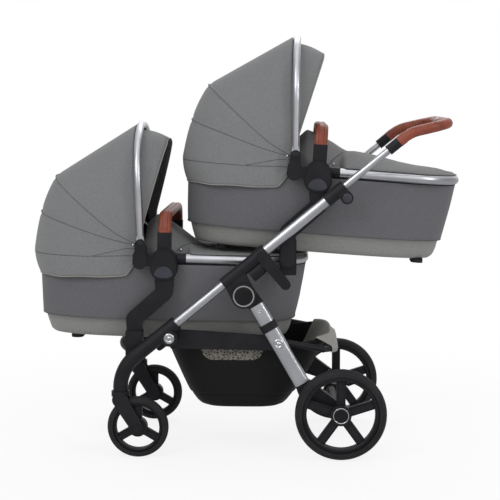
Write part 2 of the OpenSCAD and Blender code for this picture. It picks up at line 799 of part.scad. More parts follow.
// Side hub with the rim socket, the hood elbow, and pockets for post, carry handle and button
module cot_joints(upper) {
    y0 = hub_y - hub_t / 2;
    hub = upper ? [high_hub_x, high_hub_z] : [low_hub_x, low_hub_z];
    color(black) both() difference() {
        in_cot(upper) difference() {
            union() {
                xz(y0, y0 + hub_t - 5) bar([0, 0], [0, -26], hub_r, hub_r + 6);
                xz(y0, y0 + hub_t) bar([0, 0], [0, -26], hub_r - 4, hub_r + 2);
                rod([-30, rim_y, 0], [socket_end, rim_y, 0], rim_d + 6);
                xz(hub_y - 12, hub_y + 12) bar([-20, elbow[1]], elbow, 17, 17);
                xz(hub_y - 16, hub_y + 16) bar(elbow - [0, 4], elbow + [0, 14], 23, 22);
                for (y = [hub_y - 14, hub_y + 9]) xz(y, y + 5) bar(elbow + [1, 14], hood_pivot, 18, 17);
            }
            translate([-100, 0, -100 - rim_d / 2]) cube([300, y0, 100]);
            rod([34 - fit, rim_y, 0], [socket_end + 1, rim_y, 0], rim_d + 2 * fit);
            translate([-15 - gap, hub_y - 7 - gap, 5]) cube([30 + 2 * gap, 14 + 2 * gap, 60]);
            xz(y0 + hub_t - 11, y0 + hub_t + 1) d_shape(gap);
            xz(hub_y - 9, hub_y + 9) bar(hood_pivot - [0, 6], hood_pivot + [0, 30], 22, 22);
        }
        translate([hub[0] - 200, 0, hub[1] - 100 - lobe_drop]) cube([400, 400, 100]);
        translate([hub[0] - peg_w / 2 - gap, hub_y - peg_t / 2 - gap, hub[1] - 80])
            cube([peg_w + 2 * gap, peg_t + 2 * gap, 80 - peg_reach + gap]);
    }
    color(black) in_cot(upper) both() pin(hood_pivot, hood_pin_r, hub_y - 36, hub_y + 13);
}

module cot_button(upper, side) {
    out = hub_y + hub_t / 2;
    color("#3a3a42") in_cot(upper) scale_y(side) xz(out - 6.4, out + 2) d_shape(0);
}

module carry_handle(upper) {
    color(black) in_cot(upper) both() {
        difference() {
            xz(hub_y - carry_t / 2, hub_y + carry_t / 2) translate([-carry_w / 2, 10])
                square([carry_w, carry_height - carry_t / 2 - carry_corner - 10]);
            pin([0, 0], hub_r + gap, hub_y - 30, hub_y + 30);
        }
        translate([-15, hub_y - 7, 8]) cube([30, 14, 50]);
    }
}

// Covered arch between the two uprights
module carry_grip(upper) {
    base = carry_height - carry_t / 2 - carry_corner;
    color(leather) in_cot(upper) {
        both() translate([0, hub_y - carry_corner, base]) rotate([90, 0, 90]) rotate_extrude(angle = 90)
            translate([carry_corner, 0]) rotate(90) stadium(carry_w - 2, carry_t);
        translate([0, hub_y - carry_corner, base + carry_corner]) rotate([90, 0, 0])
            linear_extrude(2 * (hub_y - carry_corner)) stadium(carry_w - 2, carry_t);
    }
}

// A round-cornered arch across the cot, standing on the hood pivot and leaning to the head end
module arch(lean, foot, height, half, corner, d) {
    translate(at_y(hood_pivot, 0)) rotate([0, -lean, 0]) {
        both() {
            rod([0, half, foot], [0, half, height - corner], d);
            translate([0, half - corner, height - corner]) rotate([90, 0, 90]) rotate_extrude(angle = 90)
                translate([corner, 0]) circle(d = d);
        }
        rod([0, corner - half, height], [0, half - corner, height], d);
    }
}

bow_lean = 3.6;
bow_reach = (bow_height - bow_d / 2 - hood_pivot[1]) / cos(bow_lean);
module hood_bow(upper) {
    color(silver) in_cot(upper) difference() {
        union() {
            arch(bow_lean, 20, bow_reach, hub_y, 200, bow_d);
            both() {
                pin(hood_pivot, 16.5, hub_y - 9 + gap, hub_y + 9 - gap);
                xz(hub_y - 9 + gap, hub_y + 9 - gap) bar(hood_pivot,
                    hood_pivot + 22 * [-sin(bow_lean), cos(bow_lean)], 14, 11);
            }
        }
        pin(hood_pivot, hood_pin_r + fit, -400, 400);
    }
}

// Hood cloth: arches fan out from a point on each side, and lie straight between the bow and three seams
fan = [-118, 40];
fan_half = hub_y - bow_d / 2 - gap;
bow_turn = 87;
// Turn and reach of the bow's back edge and of the seams
spokes = [[90, 381], [141, 334], [163, 321], [185, 329]];
puff = [0, 4, 2];
front_reach = 21;
function chord(a, p, q) = sin(q[0] - p[0]) / (sin(q[0] - a) / p[1] + sin(a - p[0]) / q[1]);
function panel_r(a, k) = let(p = spokes[k], q = spokes[k + 1])
    chord(a, p, q) + puff[k] * sin(180 * (a - p[0]) / (q[0] - p[0]));
function fan_r(a) = a < 90 ? bow_height - bow_d - gap - fan[1] - 3
    : panel_r(a, a < spokes[1][0] ? 0 : a < spokes[2][0] ? 1 : 2);
function fan_point(a, j, in) = let(b = 2 + 176 * j / 24, c = cos(b), s = sin(b),
    k = pow(pow(abs(c), 3) + pow(s, 3), -1 / 3), rho = (fan_r(a) - in) * s * k,
    front = front_reach * smooth((spokes[1][0] - a) / (spokes[1][0] - bow_turn)) * (1 - s * k))
    [fan[0] + rho * cos(a) + front, (fan_half - in) * c * k, fan[1] + rho * sin(a)];
function visor_point(f, j, in) = let(p = fan_point(bow_turn, j, in),
    rise = min(1, max(0, (p[2] - 117) / (bow_height - 162))))
    p + f * rise * [visor_reach, 0, -0.38 * visor_reach];
function skirt_point(f, j, in) = let(p = fan_point(spokes[3][0], j, in))
    [p[0], p[1], mix(p[2], -skirt_drop, f)];
function hood_grid(in) = concat([for (f = [1, 0.5]) [for (j = [0 : 24]) visor_point(f, j, in)]],
    [for (a = [bow_turn, 92, 104, 116, 129, 141, 148, 156, 163, 170, 178, 185])
        [for (j = [0 : 24]) fan_point(a, j, in)]],
    [for (f = [0.5, 1]) [for (j = [0 : 24]) skirt_point(f, j, in)]]);

module hood_canopy(upper) {
    color("#7f8082") in_cot(upper) sheet(hood_grid(0), hood_grid(hood_t));
}

rib_turn = 129;
rib_d = 8;
rib_half = fan_half - hood_t - rib_d / 2 - 10;
// Inner rib that spreads the cloth half way back
module hood_rib(upper) {
    top = fan + (fan_r(rib_turn) - hood_t - rib_d) * [cos(rib_turn), sin(rib_turn)];
    v = top - hood_pivot;
    color(silver) in_cot(upper) difference() {
        union() {
            arch(atan2(-v[0], v[1]), hood_pin_r + 2, norm(v), rib_half, 190, rib_d);
            both() pin(hood_pivot, 9, rib_half - rib_d / 2 + 1, rib_half + rib_d / 2 - 1);
        }
        pin(hood_pivot, hood_pin_r + fit, -400, 400);
    }
}

main_tubes();
hub_housings();
hub_badges();
front_tubes();
front_arms();
front_crossbar();
receivers();
upper_adaptors();
lower_adaptors();
basket_rail();
basket();
handle_collars();
frame_rivets();
rear_knuckles();
rear_legs();
axle_beam();
rear_axle();
brake_pedal();
handle_tubes();
handle_ferrules();
handle_grip();
handle_button();
fold_lever(-1);  // fold_lever_left
fold_lever(1);  // fold_lever_right
rear_rim(-1);  // rear_rim_left
rear_rim(1);  // rear_rim_right
rear_tyre(-1);  // rear_tyre_left
rear_tyre(1);  // rear_tyre_right
front_fork(-1);  // front_fork_left
front_fork(1);  // front_fork_right
front_rim(-1);  // front_rim_left
front_rim(1);  // front_rim_right
front_tyre(-1);  // front_tyre_left
front_tyre(1);  // front_tyre_right
cot_shell(false);  // lower_cot_shell
cot_rim(false);  // lower_cot_rim
cot_apron(false);  // lower_cot_apron
cot_mattress(false);  // lower_cot_mattress
cot_feet(false);  // lower_cot_feet
cot_joints(false);  // lower_cot_joints
carry_handle(false);  // lower_carry_handle
carry_grip(false);  // lower_carry_grip
hood_bow(false);  // lower_hood_bow
hood_canopy(false);  // lower_hood_canopy
hood_rib(false);  // lower_hood_rib
cot_button(false, -1);  // lower_cot_button_left
cot_button(false, 1);  // lower_cot_button_right
cot_shell(true);  // upper_cot_shell
cot_rim(true);  // upper_cot_rim
cot_apron(true);  // upper_cot_apron
cot_mattress(true);  // upper_cot_mattress
cot_feet(true);  // upper_cot_feet
cot_joints(true);  // upper_cot_joints
carry_handle(true);  // upper_carry_handle
carry_grip(true);  // upper_carry_grip
hood_bow(true);  // upper_hood_bow
hood_canopy(true);  // upper_hood_canopy
hood_rib(true);  // upper_hood_rib
cot_button(true, -1);  // upper_cot_button_left
cot_button(true, 1);  // upper_cot_button_right
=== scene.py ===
# %% [markdown]
# # A tandem twin pram
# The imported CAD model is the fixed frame: tubes, castings, wheels and joints are already where they
# belong. This lesson gives every rigid piece its finish and sews the soft goods (hoods, aprons, cot
# bodies, mattresses and basket) as cloth forms that sit where their CAD solids are.

# %% Load the frame
import json
import math

import bpy
import numpy as np
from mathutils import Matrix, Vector, noise


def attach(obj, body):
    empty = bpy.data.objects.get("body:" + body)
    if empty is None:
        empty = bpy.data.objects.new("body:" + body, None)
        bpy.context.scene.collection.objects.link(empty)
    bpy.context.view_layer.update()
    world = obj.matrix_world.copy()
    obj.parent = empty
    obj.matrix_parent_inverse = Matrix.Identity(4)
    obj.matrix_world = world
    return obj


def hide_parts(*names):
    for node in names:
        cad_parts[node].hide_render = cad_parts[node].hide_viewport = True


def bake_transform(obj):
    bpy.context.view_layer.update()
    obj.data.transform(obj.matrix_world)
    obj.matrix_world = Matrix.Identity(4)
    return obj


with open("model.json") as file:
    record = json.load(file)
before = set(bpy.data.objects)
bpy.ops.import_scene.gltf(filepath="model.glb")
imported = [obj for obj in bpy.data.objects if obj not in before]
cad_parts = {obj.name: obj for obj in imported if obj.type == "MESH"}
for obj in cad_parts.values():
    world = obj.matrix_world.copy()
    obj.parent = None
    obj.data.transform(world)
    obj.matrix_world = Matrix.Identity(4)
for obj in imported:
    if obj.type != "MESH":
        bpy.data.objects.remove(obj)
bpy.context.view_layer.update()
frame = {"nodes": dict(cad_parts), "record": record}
nodes = frame["nodes"]

# %% [markdown]
# ## Camera
# The photograph is a side view from far away with a long lens: the far wheels are only a tenth smaller
# than the near ones. The camera stands 4.6 m off at 1.14 m height and looks slightly down. Uprights stay
# nearly parallel in the photograph, as with a view camera whose lens is shifted. A tilted camera alone
# squeezed the wheels and the basket upwards, and a full shift would push the pram out of the other views,
# so the tilt is small and a little shift makes up the rest.

# %% Camera at the photograph's angle
scene = bpy.context.scene
scene.view_settings.view_transform = "Standard"
lens = bpy.data.cameras.new("side_camera")
lens.lens, lens.sensor_width = 101.0, 36.0
camera = bpy.data.objects.new("side_camera", lens)
scene.collection.objects.link(camera)
lens.shift_y = -0.08
TILT, TURN = 4.637, 1.898
camera.location = (0.1691, -4.641, 1.1439)
camera.rotation_euler = (math.radians(90 - TILT), 0.0, math.radians(TURN))
scene.camera = camera
print("camera", [round(x, 3) for x in camera.location], "shift", round(lens.shift_y, 3))

# %% [markdown]
# ## Colours and nodes
# Colours are written as sRGB hex, as a paint chart gives them, and one function turns them into the linear
# values that a shader wants. A second small function adds a node, sets it and links it, so that a
# material reads as a short list.


# %% Helpers for materials
def linear(code):
    parts = [int(code[i:i + 2], 16) / 255 for i in (1, 3, 5)]
    return [c / 12.92 if c <= 0.04045 else ((c + 0.055) / 1.055) ** 2.4 for c in parts] + [1.0]


def node(tree, kind, settings=None, sockets=None):
    made = tree.nodes.new(kind)
    for name, value in (settings or {}).items():
        setattr(made, name, value)
    for name, value in (sockets or {}).items():
        if isinstance(value, bpy.types.NodeSocket):
            tree.links.new(value, made.inputs[name])
        else:
            made.inputs[name].default_value = value
    return made


def new_material(name, **constants):
    """A material with its Principled shader, whose constant sockets are set here."""
    made = bpy.data.materials.new(name)
    made.use_nodes = True
    shader = made.node_tree.nodes["Principled BSDF"]
    for socket, value in constants.items():
        shader.inputs[socket.replace("_", " ")].default_value = value
    return made, made.node_tree, shader


# Sockets of a Mix node: its two numbers, or its two colours and the mixed colour
NUMBER_A, NUMBER_B = 2, 3
COLOUR_A, COLOUR_B, MIXED = 6, 7, 2
print("hex to linear", [round(c, 3) for c in linear("#828385")])

# %% [markdown]
# ## Light
# The photograph has soft light from all round. A pale world gives that. What the tubes mirror is brighter
# in front and above than at the sides and on the floor, as in a studio with black flags beside the
# product, so they get light middles and dark edges. A large lamp from the upper left and a strip from the
# right add bright lines, and a lamp behind lights the tops of the hoods.

# %% World and lamps
WHITE = (1.0, 1.0, 1.0, 1.0)
SOFT_LIGHT, SEEN_LIGHT = 0.66, 1.0
world = bpy.data.worlds.new("pale_studio")
world.use_nodes = True
tree = world.node_tree
background = tree.nodes["Background"]
path = node(tree, "ShaderNodeLightPath")
place = node(tree, "ShaderNodeTexCoord")
axes = node(tree, "ShaderNodeSeparateXYZ", None, {"Vector": place.outputs["Generated"]})
aside = node(tree, "ShaderNodeMath", {"operation": "ABSOLUTE"}, {0: axes.outputs["X"]})
front = node(tree, "ShaderNodeMapRange", None,
             {"Value": aside.outputs[0], "From Min": 0.25, "From Max": 0.9, "To Min": 1.1, "To Max": 0.4})
above = node(tree, "ShaderNodeMapRange", None,
             {"Value": axes.outputs["Z"], "From Min": -0.2, "From Max": 0.6, "To Min": 0.75, "To Max": 1.15})
mirrored = node(tree, "ShaderNodeMath", {"operation": "MULTIPLY"},
                {0: front.outputs[0], 1: above.outputs[0]})
seen = node(tree, "ShaderNodeMath", {"operation": "MAXIMUM"},
            {0: path.outputs["Is Camera Ray"], 1: path.outputs["Is Transmission Ray"]})
level = node(tree, "ShaderNodeMapRange", None,
             {"Value": seen.outputs[0], "To Min": SOFT_LIGHT, "To Max": SEEN_LIGHT})
strength = node(tree, "ShaderNodeMix", None,
                {0: path.outputs["Is Glossy Ray"], NUMBER_A: level.outputs[0], NUMBER_B: mirrored.outputs[0]})
tree.links.new(strength.outputs[0], background.inputs["Strength"])
background.inputs["Color"].default_value = WHITE
scene.world = world


def lamp(name, place, target, size, power):
    data = bpy.data.lights.new(name, "AREA")
    data.shape, data.size, data.size_y, data.energy = "RECTANGLE", size[0], size[1], power
    made = bpy.data.objects.new(name, data)
    scene.collection.objects.link(made)
    made.location = place
    made.rotation_euler = (Vector(target) - Vector(place)).to_track_quat("-Z", "Y").to_euler()


lamp("key_left", (-2.2, -3.0, 3.4), (0, 0, 0.7), (1.8, 1.8), 50)
lamp("strip_right", (2.8, -2.4, 2.2), (0, 0, 0.7), (0.5, 2.0), 26)
lamp("top_back", (0.2, 2.4, 3.2), (0, 0, 0.8), (2.4, 1.2), 25)
print("world and", len(bpy.data.lights), "lamps made")

# %% [markdown]
# ## Floor
# The ground is white with faint shadows under the wheels. A plain white floor turns grey away from the
# lamps, so this pale paint also glows for the camera: it comes out white and keeps the shadow. The glow is
# a little weaker under the pram, and weaker still where a shiny piece mirrors it.

# %% Floor
FLOOR_HALF = 14.0
GLOW_SEEN, GLOW_MIRRORED = 1.0, 0.5
floor_mesh = bpy.data.meshes.new("studio_floor")
corners = [(x * FLOOR_HALF, y * FLOOR_HALF, 0) for x, y in ((-1, -1), (1, -1), (1, 1), (-1, 1))]
floor_mesh.from_pydata(corners, [], [(0, 1, 2, 3)])
floor = bpy.data.objects.new("studio_floor", floor_mesh)
scene.collection.objects.link(floor)
floor_paint, tree, shader = new_material("matt_white_floor_paint", Roughness=0.9)
shader.inputs["Base Color"].default_value = linear("#f4f4f3")
path = node(tree, "ShaderNodeLightPath")
dimmed = node(tree, "ShaderNodeMapRange", None,
              {"Value": path.outputs["Is Glossy Ray"], "To Min": GLOW_SEEN, "To Max": GLOW_MIRRORED})
glow = node(tree, "ShaderNodeEmission", None, {"Color": WHITE, "Strength": dimmed.outputs[0]})
seen = node(tree, "ShaderNodeMath", {"operation": "MAXIMUM"},
            {0: path.outputs["Is Camera Ray"], 1: path.outputs["Is Glossy Ray"]})
place = node(tree, "ShaderNodeTexCoord")
away = node(tree, "ShaderNodeVectorMath", {"operation": "LENGTH"}, {0: place.outputs["Object"]})
fade = node(tree, "ShaderNodeMapRange", {"interpolation_type": "SMOOTHSTEP"},
            {"Value": away.outputs["Value"], "From Min": 0.4, "From Max": 2.2, "To Min": 0.84, "To Max": 1.0})
part = node(tree, "ShaderNodeMath", {"operation": "MULTIPLY"}, {0: seen.outputs[0], 1: fade.outputs[0]})
mixed = node(tree, "ShaderNodeMixShader", None, {0: part.outputs[0]})
tree.links.new(shader.outputs[0], mixed.inputs[1])
tree.links.new(glow.outputs[0], mixed.inputs[2])
tree.links.new(mixed.outputs[0], tree.nodes["Material Output"].inputs["Surface"])
floor_mesh.materials.append(floor_paint)
print("floor", 2 * FLOOR_HALF, "m across")

# %% [markdown]
# ## Metals
# The tubes are extruded aluminium, bead-blasted and anodised: a satin grey with broad soft highlights and
# very fine speckle. The studs and the axle are chrome-plated steel, almost a mirror. A metal keeps the
# default IOR, and only its colour and roughness are matched. The speckle is drawn at 3 to 4 mm, far
# coarser than the real grit, so that it shows.


# %% Aluminium and chrome
def metal(name, dark, light, rough, spread, grit_mm, patch_mm=71.4):
    """Anodised or plated metal: the grit gives the speckle, and broad patches tint it faintly."""
    made, tree, shader = new_material(name, Metallic=1.0)
    place = node(tree, "ShaderNodeTexCoord")
    speckle = node(tree, "ShaderNodeTexNoise", None,
                   {"Vector": place.outputs["Object"], "Scale": 1000 / grit_mm, "Detail": 3.0})
    patch = node(tree, "ShaderNodeTexNoise", None,
                 {"Vector": place.outputs["Object"], "Scale": 1000 / patch_mm, "Detail": 2.0})
    share = node(tree, "ShaderNodeMapRange", None,
                 {"Value": patch.outputs["Fac"], "From Min": 0.35, "From Max": 0.65})
    tint = node(tree, "ShaderNodeMix", {"data_type": "RGBA"},
                {0: share.outputs[0], COLOUR_A: linear(dark), COLOUR_B: linear(light)})
    tree.links.new(tint.outputs[MIXED], shader.inputs["Base Color"])
    gloss = node(tree, "ShaderNodeMapRange", None,
                 {"Value": speckle.outputs["Fac"], "To Min": rough - spread, "To Max": rough + spread})
    tree.links.new(gloss.outputs[0], shader.inputs["Roughness"])
    bump = node(tree, "ShaderNodeBump", None,
                {"Strength": 0.05, "Distance": 0.0003, "Height": speckle.outputs["Fac"]})
    tree.links.new(bump.outputs[0], shader.inputs["Normal"])
    return made


aluminium = metal("satin_anodised_aluminium", "#b6b7bc", "#c2c3c8", 0.34, 0.05, 3.0)
chrome = metal("polished_chrome_plate", "#b9babd", "#c6c7c9", 0.10, 0.03, 4.0)
print("metals made:", aluminium.name, chrome.name)

# %% [markdown]
# ## Plastics and rubber
# Castings and joints are glass-filled nylon from a spark-eroded mould, so they are near black with a fine
# matt grain. The buttons have a paler soft-touch skin. The tyres are foamed polyurethane, duller and a
# little browner, and the cots' feet are plain rubber. The grain is drawn at 2 to 3 mm, coarser than it is,
# so that it shows.


# %% Nylon, button plastic and rubber
def moulded(name, dark, light, rough, grain_mm, depth, gleam=0.25, cloud_mm=45.5):
    """Moulded plastic or rubber: a fine grain from the mould scatters the gleam, over faint clouds."""
    made, tree, shader = new_material(name, IOR=1.5, Specular_IOR_Level=gleam)
    place = node(tree, "ShaderNodeTexCoord")
    grain = node(tree, "ShaderNodeTexNoise", None,
                 {"Vector": place.outputs["Object"], "Scale": 1000 / grain_mm, "Detail": 4.0})
    cloud = node(tree, "ShaderNodeTexNoise", None,
                 {"Vector": place.outputs["Object"], "Scale": 1000 / cloud_mm, "Detail": 3.0})
    share = node(tree, "ShaderNodeMapRange", None,
                 {"Value": cloud.outputs["Fac"], "From Min": 0.35, "From Max": 0.65})
    tint = node(tree, "ShaderNodeMix", {"data_type": "RGBA"},
                {0: share.outputs[0], COLOUR_A: linear(dark), COLOUR_B: linear(light)})
    tree.links.new(tint.outputs[MIXED], shader.inputs["Base Color"])
    gloss = node(tree, "ShaderNodeMapRange", None,
                 {"Value": cloud.outputs["Fac"], "To Min": rough - 0.06, "To Max": rough + 0.06})
    tree.links.new(gloss.outputs[0], shader.inputs["Roughness"])
    bump = node(tree, "ShaderNodeBump", None,
                {"Strength": 0.25, "Distance": depth, "Height": grain.outputs["Fac"]})
    tree.links.new(bump.outputs[0], shader.inputs["Normal"])
    return made


nylon = moulded("black_glass_filled_nylon", "#1b1b1f", "#212125", 0.46, 2.0, 0.0004, 0.18)
button_plastic = moulded("soft_touch_button_plastic", "#33343b", "#3d3e46", 0.40, 2.0, 0.0002)
tyre = moulded("foamed_tyre_rubber", "#212123", "#2a2a2c", 0.68, 3.0, 0.0006, 0.2)
feet = moulded("moulded_foot_rubber", "#1c1c1e", "#252527", 0.75, 3.0, 0.0005, 0.2)
print("moulded finishes:", nylon.name, button_plastic.name, tyre.name, feet.name)

# %% [markdown]
# ## Leather
# The grips are covered with a smooth tan faux leather: polyurethane on a knit, with shallow pebbles 1 to
# 2 mm across and darker valleys. The pebbles are drawn at 2.2 mm, coarser than they are, so that they show.
# Broad stains about 33 mm across keep the tan from looking printed.

# %% Faux leather
PEBBLE_MM, STAIN_MM = 2.2, 33.3
leather, tree, shader = new_material("tan_faux_leather", IOR=1.5, Specular_IOR_Level=0.3,
                                     Coat_Weight=0.1, Coat_Roughness=0.35)
place = node(tree, "ShaderNodeTexCoord")
pebble = node(tree, "ShaderNodeTexVoronoi", {"feature": "F1"},
              {"Vector": place.outputs["Object"], "Scale": 1000 / PEBBLE_MM})
stain = node(tree, "ShaderNodeTexNoise", None,
             {"Vector": place.outputs["Object"], "Scale": 1000 / STAIN_MM, "Detail": 4.0})
share = node(tree, "ShaderNodeMapRange", None,
             {"Value": stain.outputs["Fac"], "From Min": 0.35, "From Max": 0.65})
tint = node(tree, "ShaderNodeMix", {"data_type": "RGBA"},
            {0: share.outputs[0], COLOUR_A: linear("#743626"), COLOUR_B: linear("#8e4836")})
tree.links.new(tint.outputs[MIXED], shader.inputs["Base Color"])
gloss = node(tree, "ShaderNodeMapRange", None, {"Value": stain.outputs["Fac"], "To Min": 0.36, "To Max": 0.5})
tree.links.new(gloss.outputs[0], shader.inputs["Roughness"])
bump = node(tree, "ShaderNodeBump", None,
            {"Strength": 0.22, "Distance": 0.0005, "Height": pebble.outputs["Distance"]})
tree.links.new(bump.outputs[0], shader.inputs["Normal"])
print("leather made:", leather.name)

# %% [markdown]
# ## Cloths
# Hoods, aprons and cot bodies are a heathered polyester canvas: two greys of yarn in a plain weave, matt,
# with a slight sheen at grazing angles. Its threads are about 0.5 mm apart, far too fine to show, so the
# weave is drawn at 2.4 mm and the heather at 5 mm. The weave follows the cloth, because each sheet below
# gets UVs in metres. The basket is a black nylon cloth, the lining a black one, and the mattress cover a
# pale knit.

# %% Woven cloths
HEATHER_MM = 5.0
# Metres from band to band in a wave texture of scale 1
WAVE_LENGTH = 0.31416


def woven(name, dark, light, thread_mm, rough, depth, sheen):
    """A plain weave: bands across both threads of the cloth make the bump, and noise mixes the yarns."""
    made, tree, shader = new_material(name, Roughness=rough, IOR=1.45, Specular_IOR_Level=0.2,
                                      Sheen_Weight=sheen, Sheen_Roughness=0.5)
    place = node(tree, "ShaderNodeTexCoord")
    threads = {"Vector": place.outputs["UV"], "Scale": WAVE_LENGTH / (thread_mm / 1000),
               "Distortion": 0.6, "Detail": 1.0}
    warp = node(tree, "ShaderNodeTexWave", {"bands_direction": "X"}, threads)
    weft = node(tree, "ShaderNodeTexWave", {"bands_direction": "Y"}, threads)
    weave = node(tree, "ShaderNodeMath", {"operation": "MULTIPLY"},
                 {0: warp.outputs["Fac"], 1: weft.outputs["Fac"]})
    heather = node(tree, "ShaderNodeTexNoise", None,
                   {"Vector": place.outputs["Object"], "Scale": 1000 / HEATHER_MM, "Detail": 6.0,
                    "Roughness": 0.7})
    share = node(tree, "ShaderNodeMapRange", None,
                 {"Value": heather.outputs["Fac"], "From Min": 0.3, "From Max": 0.7})
    tint = node(tree, "ShaderNodeMix", {"data_type": "RGBA"},
                {0: share.outputs[0], COLOUR_A: linear(dark), COLOUR_B: linear(light)})
    tree.links.new(tint.outputs[MIXED], shader.inputs["Base Color"])
    bump = node(tree, "ShaderNodeBump", None,
                {"Strength": 0.35, "Distance": depth, "Height": weave.outputs[0]})
    tree.links.new(bump.outputs[0], shader.inputs["Normal"])
    return made


hood_canvas = woven("heathered_hood_canvas", "#727374", "#818283", 2.4, 0.88, 0.0006, 0.12)
body_canvas = woven("charcoal_body_canvas", "#5c5c60", "#69696d", 2.4, 0.88, 0.0006, 0.10)
band_canvas = woven("stone_band_canvas", "#7b7b7a", "#8c8c8a", 2.4, 0.90, 0.0008, 0.12)
lining = woven("black_lining_cloth", "#131315", "#1c1c1f", 2.0, 0.85, 0.0004, 0.10)
basket_nylon = woven("black_basket_nylon", "#0e0e0f", "#151517", 2.0, 0.62, 0.0005, 0.05)
pale_panel = woven("pale_grey_panel_cloth", "#8e8c87", "#9f9d98", 2.4, 0.88, 0.0006, 0.12)
seam_thread = woven("dark_seam_thread", "#4b4c4e", "#58595b", 1.5, 0.9, 0.0003, 0.0)
ticking = woven("white_mattress_ticking", "#cfcdc8", "#dddbd6", 4.0, 0.92, 0.0010, 0.15)
print("cloths made, the first is", hood_canvas.name)

# %% [markdown]
# ## Three ways to make a surface
# Cloth is sewn from panels, so a sheet through rows of points is the natural form: each row is one line
# across the panel. Piping, binding and rings are tubes along a line. Studs and badges are turned shapes. A
# sculpted mesh could look as good, but rows and lines keep the real sizes in view.


# %% Sheet, tube and turned shape
def finish_piece(name, mesh, material_list, body):
    for m in material_list:
        mesh.materials.append(m)
    mesh.polygons.foreach_set("use_smooth", [True] * len(mesh.polygons))
    made = bpy.data.objects.new(name, mesh)
    scene.collection.objects.link(made)
    if body:
        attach(made, body)
    return made


def skin(name, rows, material_list, body, index=None, loop=False):
    """A quad sheet through rows of points in metres, with UVs in metres across and along it."""
    grid = np.array(rows, float)
    count, width = grid.shape[:2]
    across = np.concatenate([[0], np.cumsum(np.linalg.norm(
        (np.roll(grid, -1, 1) - grid), axis=2).mean(0))])
    down = np.concatenate([[0], np.cumsum(np.linalg.norm(np.diff(grid, axis=0), axis=2).mean(1))])
    faces, uvs, picks = [], [], []
    for r in range(count - 1):
        for c in range(width if loop else width - 1):
            d = (c + 1) % width
            faces.append((r * width + c, r * width + d, (r + 1) * width + d, (r + 1) * width + c))
            near, far = across[c], across[c + 1]
            uvs += [near, down[r], far, down[r], far, down[r + 1], near, down[r + 1]]
            picks.append(index(r, c) if index else 0)
    mesh = bpy.data.meshes.new(name)
    mesh.from_pydata(grid.reshape(-1, 3).tolist(), [], faces)
    mesh.uv_layers.new(name="cloth").data.foreach_set("uv", uvs)
    made = finish_piece(name, mesh, material_list, body)
    mesh.polygons.foreach_set("material_index", picks)
    return made


def tube(name, lines, radius, material, body, sides=8, loop=False):
    """Round tubes of one radius along one or more lines of points in metres."""
    points, faces = [], []
    for line in lines:
        p = np.array(line, float)
        n = len(p)
        tangent = (np.roll(p, -1, 0) - np.roll(p, 1, 0)) if loop else np.gradient(p, axis=0)
        tangent /= np.linalg.norm(tangent, axis=1)[:, None]
        side = np.cross(tangent[0], (0, 0, 1) if abs(tangent[0][2]) < 0.9 else (1, 0, 0))
        base = len(points)
        for k in range(n):
            side = side - tangent[k] * (side @ tangent[k])
            side /= np.linalg.norm(side)
            other = np.cross(tangent[k], side)
            for s in range(sides):
                a = 2 * math.pi * s / sides
                points.append(p[k] + radius * (math.cos(a) * side + math.sin(a) * other))
        for k in range(n if loop else n - 1):
            m = (k + 1) % n
            for s in range(sides):
                t = (s + 1) % sides
                faces.append((base + k * sides + s, base + k * sides + t,
                              base + m * sides + t, base + m * sides + s))
        if not loop:
            faces.append(tuple(base + s for s in reversed(range(sides))))
            faces.append(tuple(base + (n - 1) * sides + s for s in range(sides)))
    mesh = bpy.data.meshes.new(name)
    mesh.from_pydata([tuple(q) for q in points], [], faces)
    mesh.uv_layers.new(name="cloth")
    return finish_piece(name, mesh, [material], body)


def turned(name, profile, places, material, body, steps=48):
    """A profile of (radius, height) in mm turned about an axle across the pram, at (x, face y, z, side)."""
    points, faces = [], []
    for x, y, z, side in places:
        base = len(points)
        for r, h in profile:
            for s in range(steps):
                a = 2 * math.pi * s / steps
                points.append(((x + r * math.cos(a)) / 1000, (y + side * h) / 1000,
                               (z + r * math.sin(a)) / 1000))
        for k in range(len(profile) - 1):
            for s in range(steps):
                t = (s + 1) % steps
                quad = [base + k * steps + s, base + k * steps + t,
                        base + (k + 1) * steps + t, base + (k + 1) * steps + s]
                faces.append(tuple(quad if side < 0 else quad[::-1]))
    mesh = bpy.data.meshes.new(name)
    mesh.from_pydata(points, [], faces)
    return finish_piece(name, mesh, [material], body)


def smooth(t):
    t = np.clip(t, 0, 1)
    return t * t * (3 - 2 * t)


def thicken(piece, mm):
    """Gives a sheet its thickness inwards, and its inner face the next of the piece's materials."""
    made = piece.modifiers.new("thickness", "SOLIDIFY")
    made.thickness, made.offset, made.material_offset = mm / 1000, -1.0, 1
    made.material_offset_rim = 0


def area_of(piece):
    return sum(p.area for p in piece.data.polygons)


print("surface helpers made")

# %% [markdown]
# ## Where a cot is
# Each cot is drawn about its own hub, with u towards the foot end, y across and w up, in millimetres. The
# two cots are equal, and differ only in place and tilt, so one function puts a drawn point in the pram.

# %% Cot places
# Hub of each cot (x, z) in mm, and its tilt in degrees
COTS = {"lower": (-250.0, 627.0, 1.2), "upper": (239.0, 906.0, 4.2)}


def in_cot(which, points):
    x, z, tilt = COTS[which]
    c, s = math.cos(math.radians(tilt)), math.sin(math.radians(tilt))
    p = np.asarray(points, float)
    u, y, w = p[..., 0], p[..., 1], p[..., 2]
    return np.stack([x + u * c + w * s, y, z - u * s + w * c], -1) / 1000


print("cot hubs", {k: in_cot(k, (0, 0, 0)).round(3).tolist() for k in COTS})

# %% [markdown]
# ## Hoods
# Each hood is one canvas shell on a bow: its arches fan out from a point at each side, with sewn seams that
# run from that point over the back, a visor in front of the bow, and a skirt that hangs over the head end.
# It could be draped over the ribs by simulation, but the real one is stretched tight, so it is drawn as the
# tight shape: straight from the bow to the first seam, a little puffed between the others, and drawn in
# beside each line of stitches.

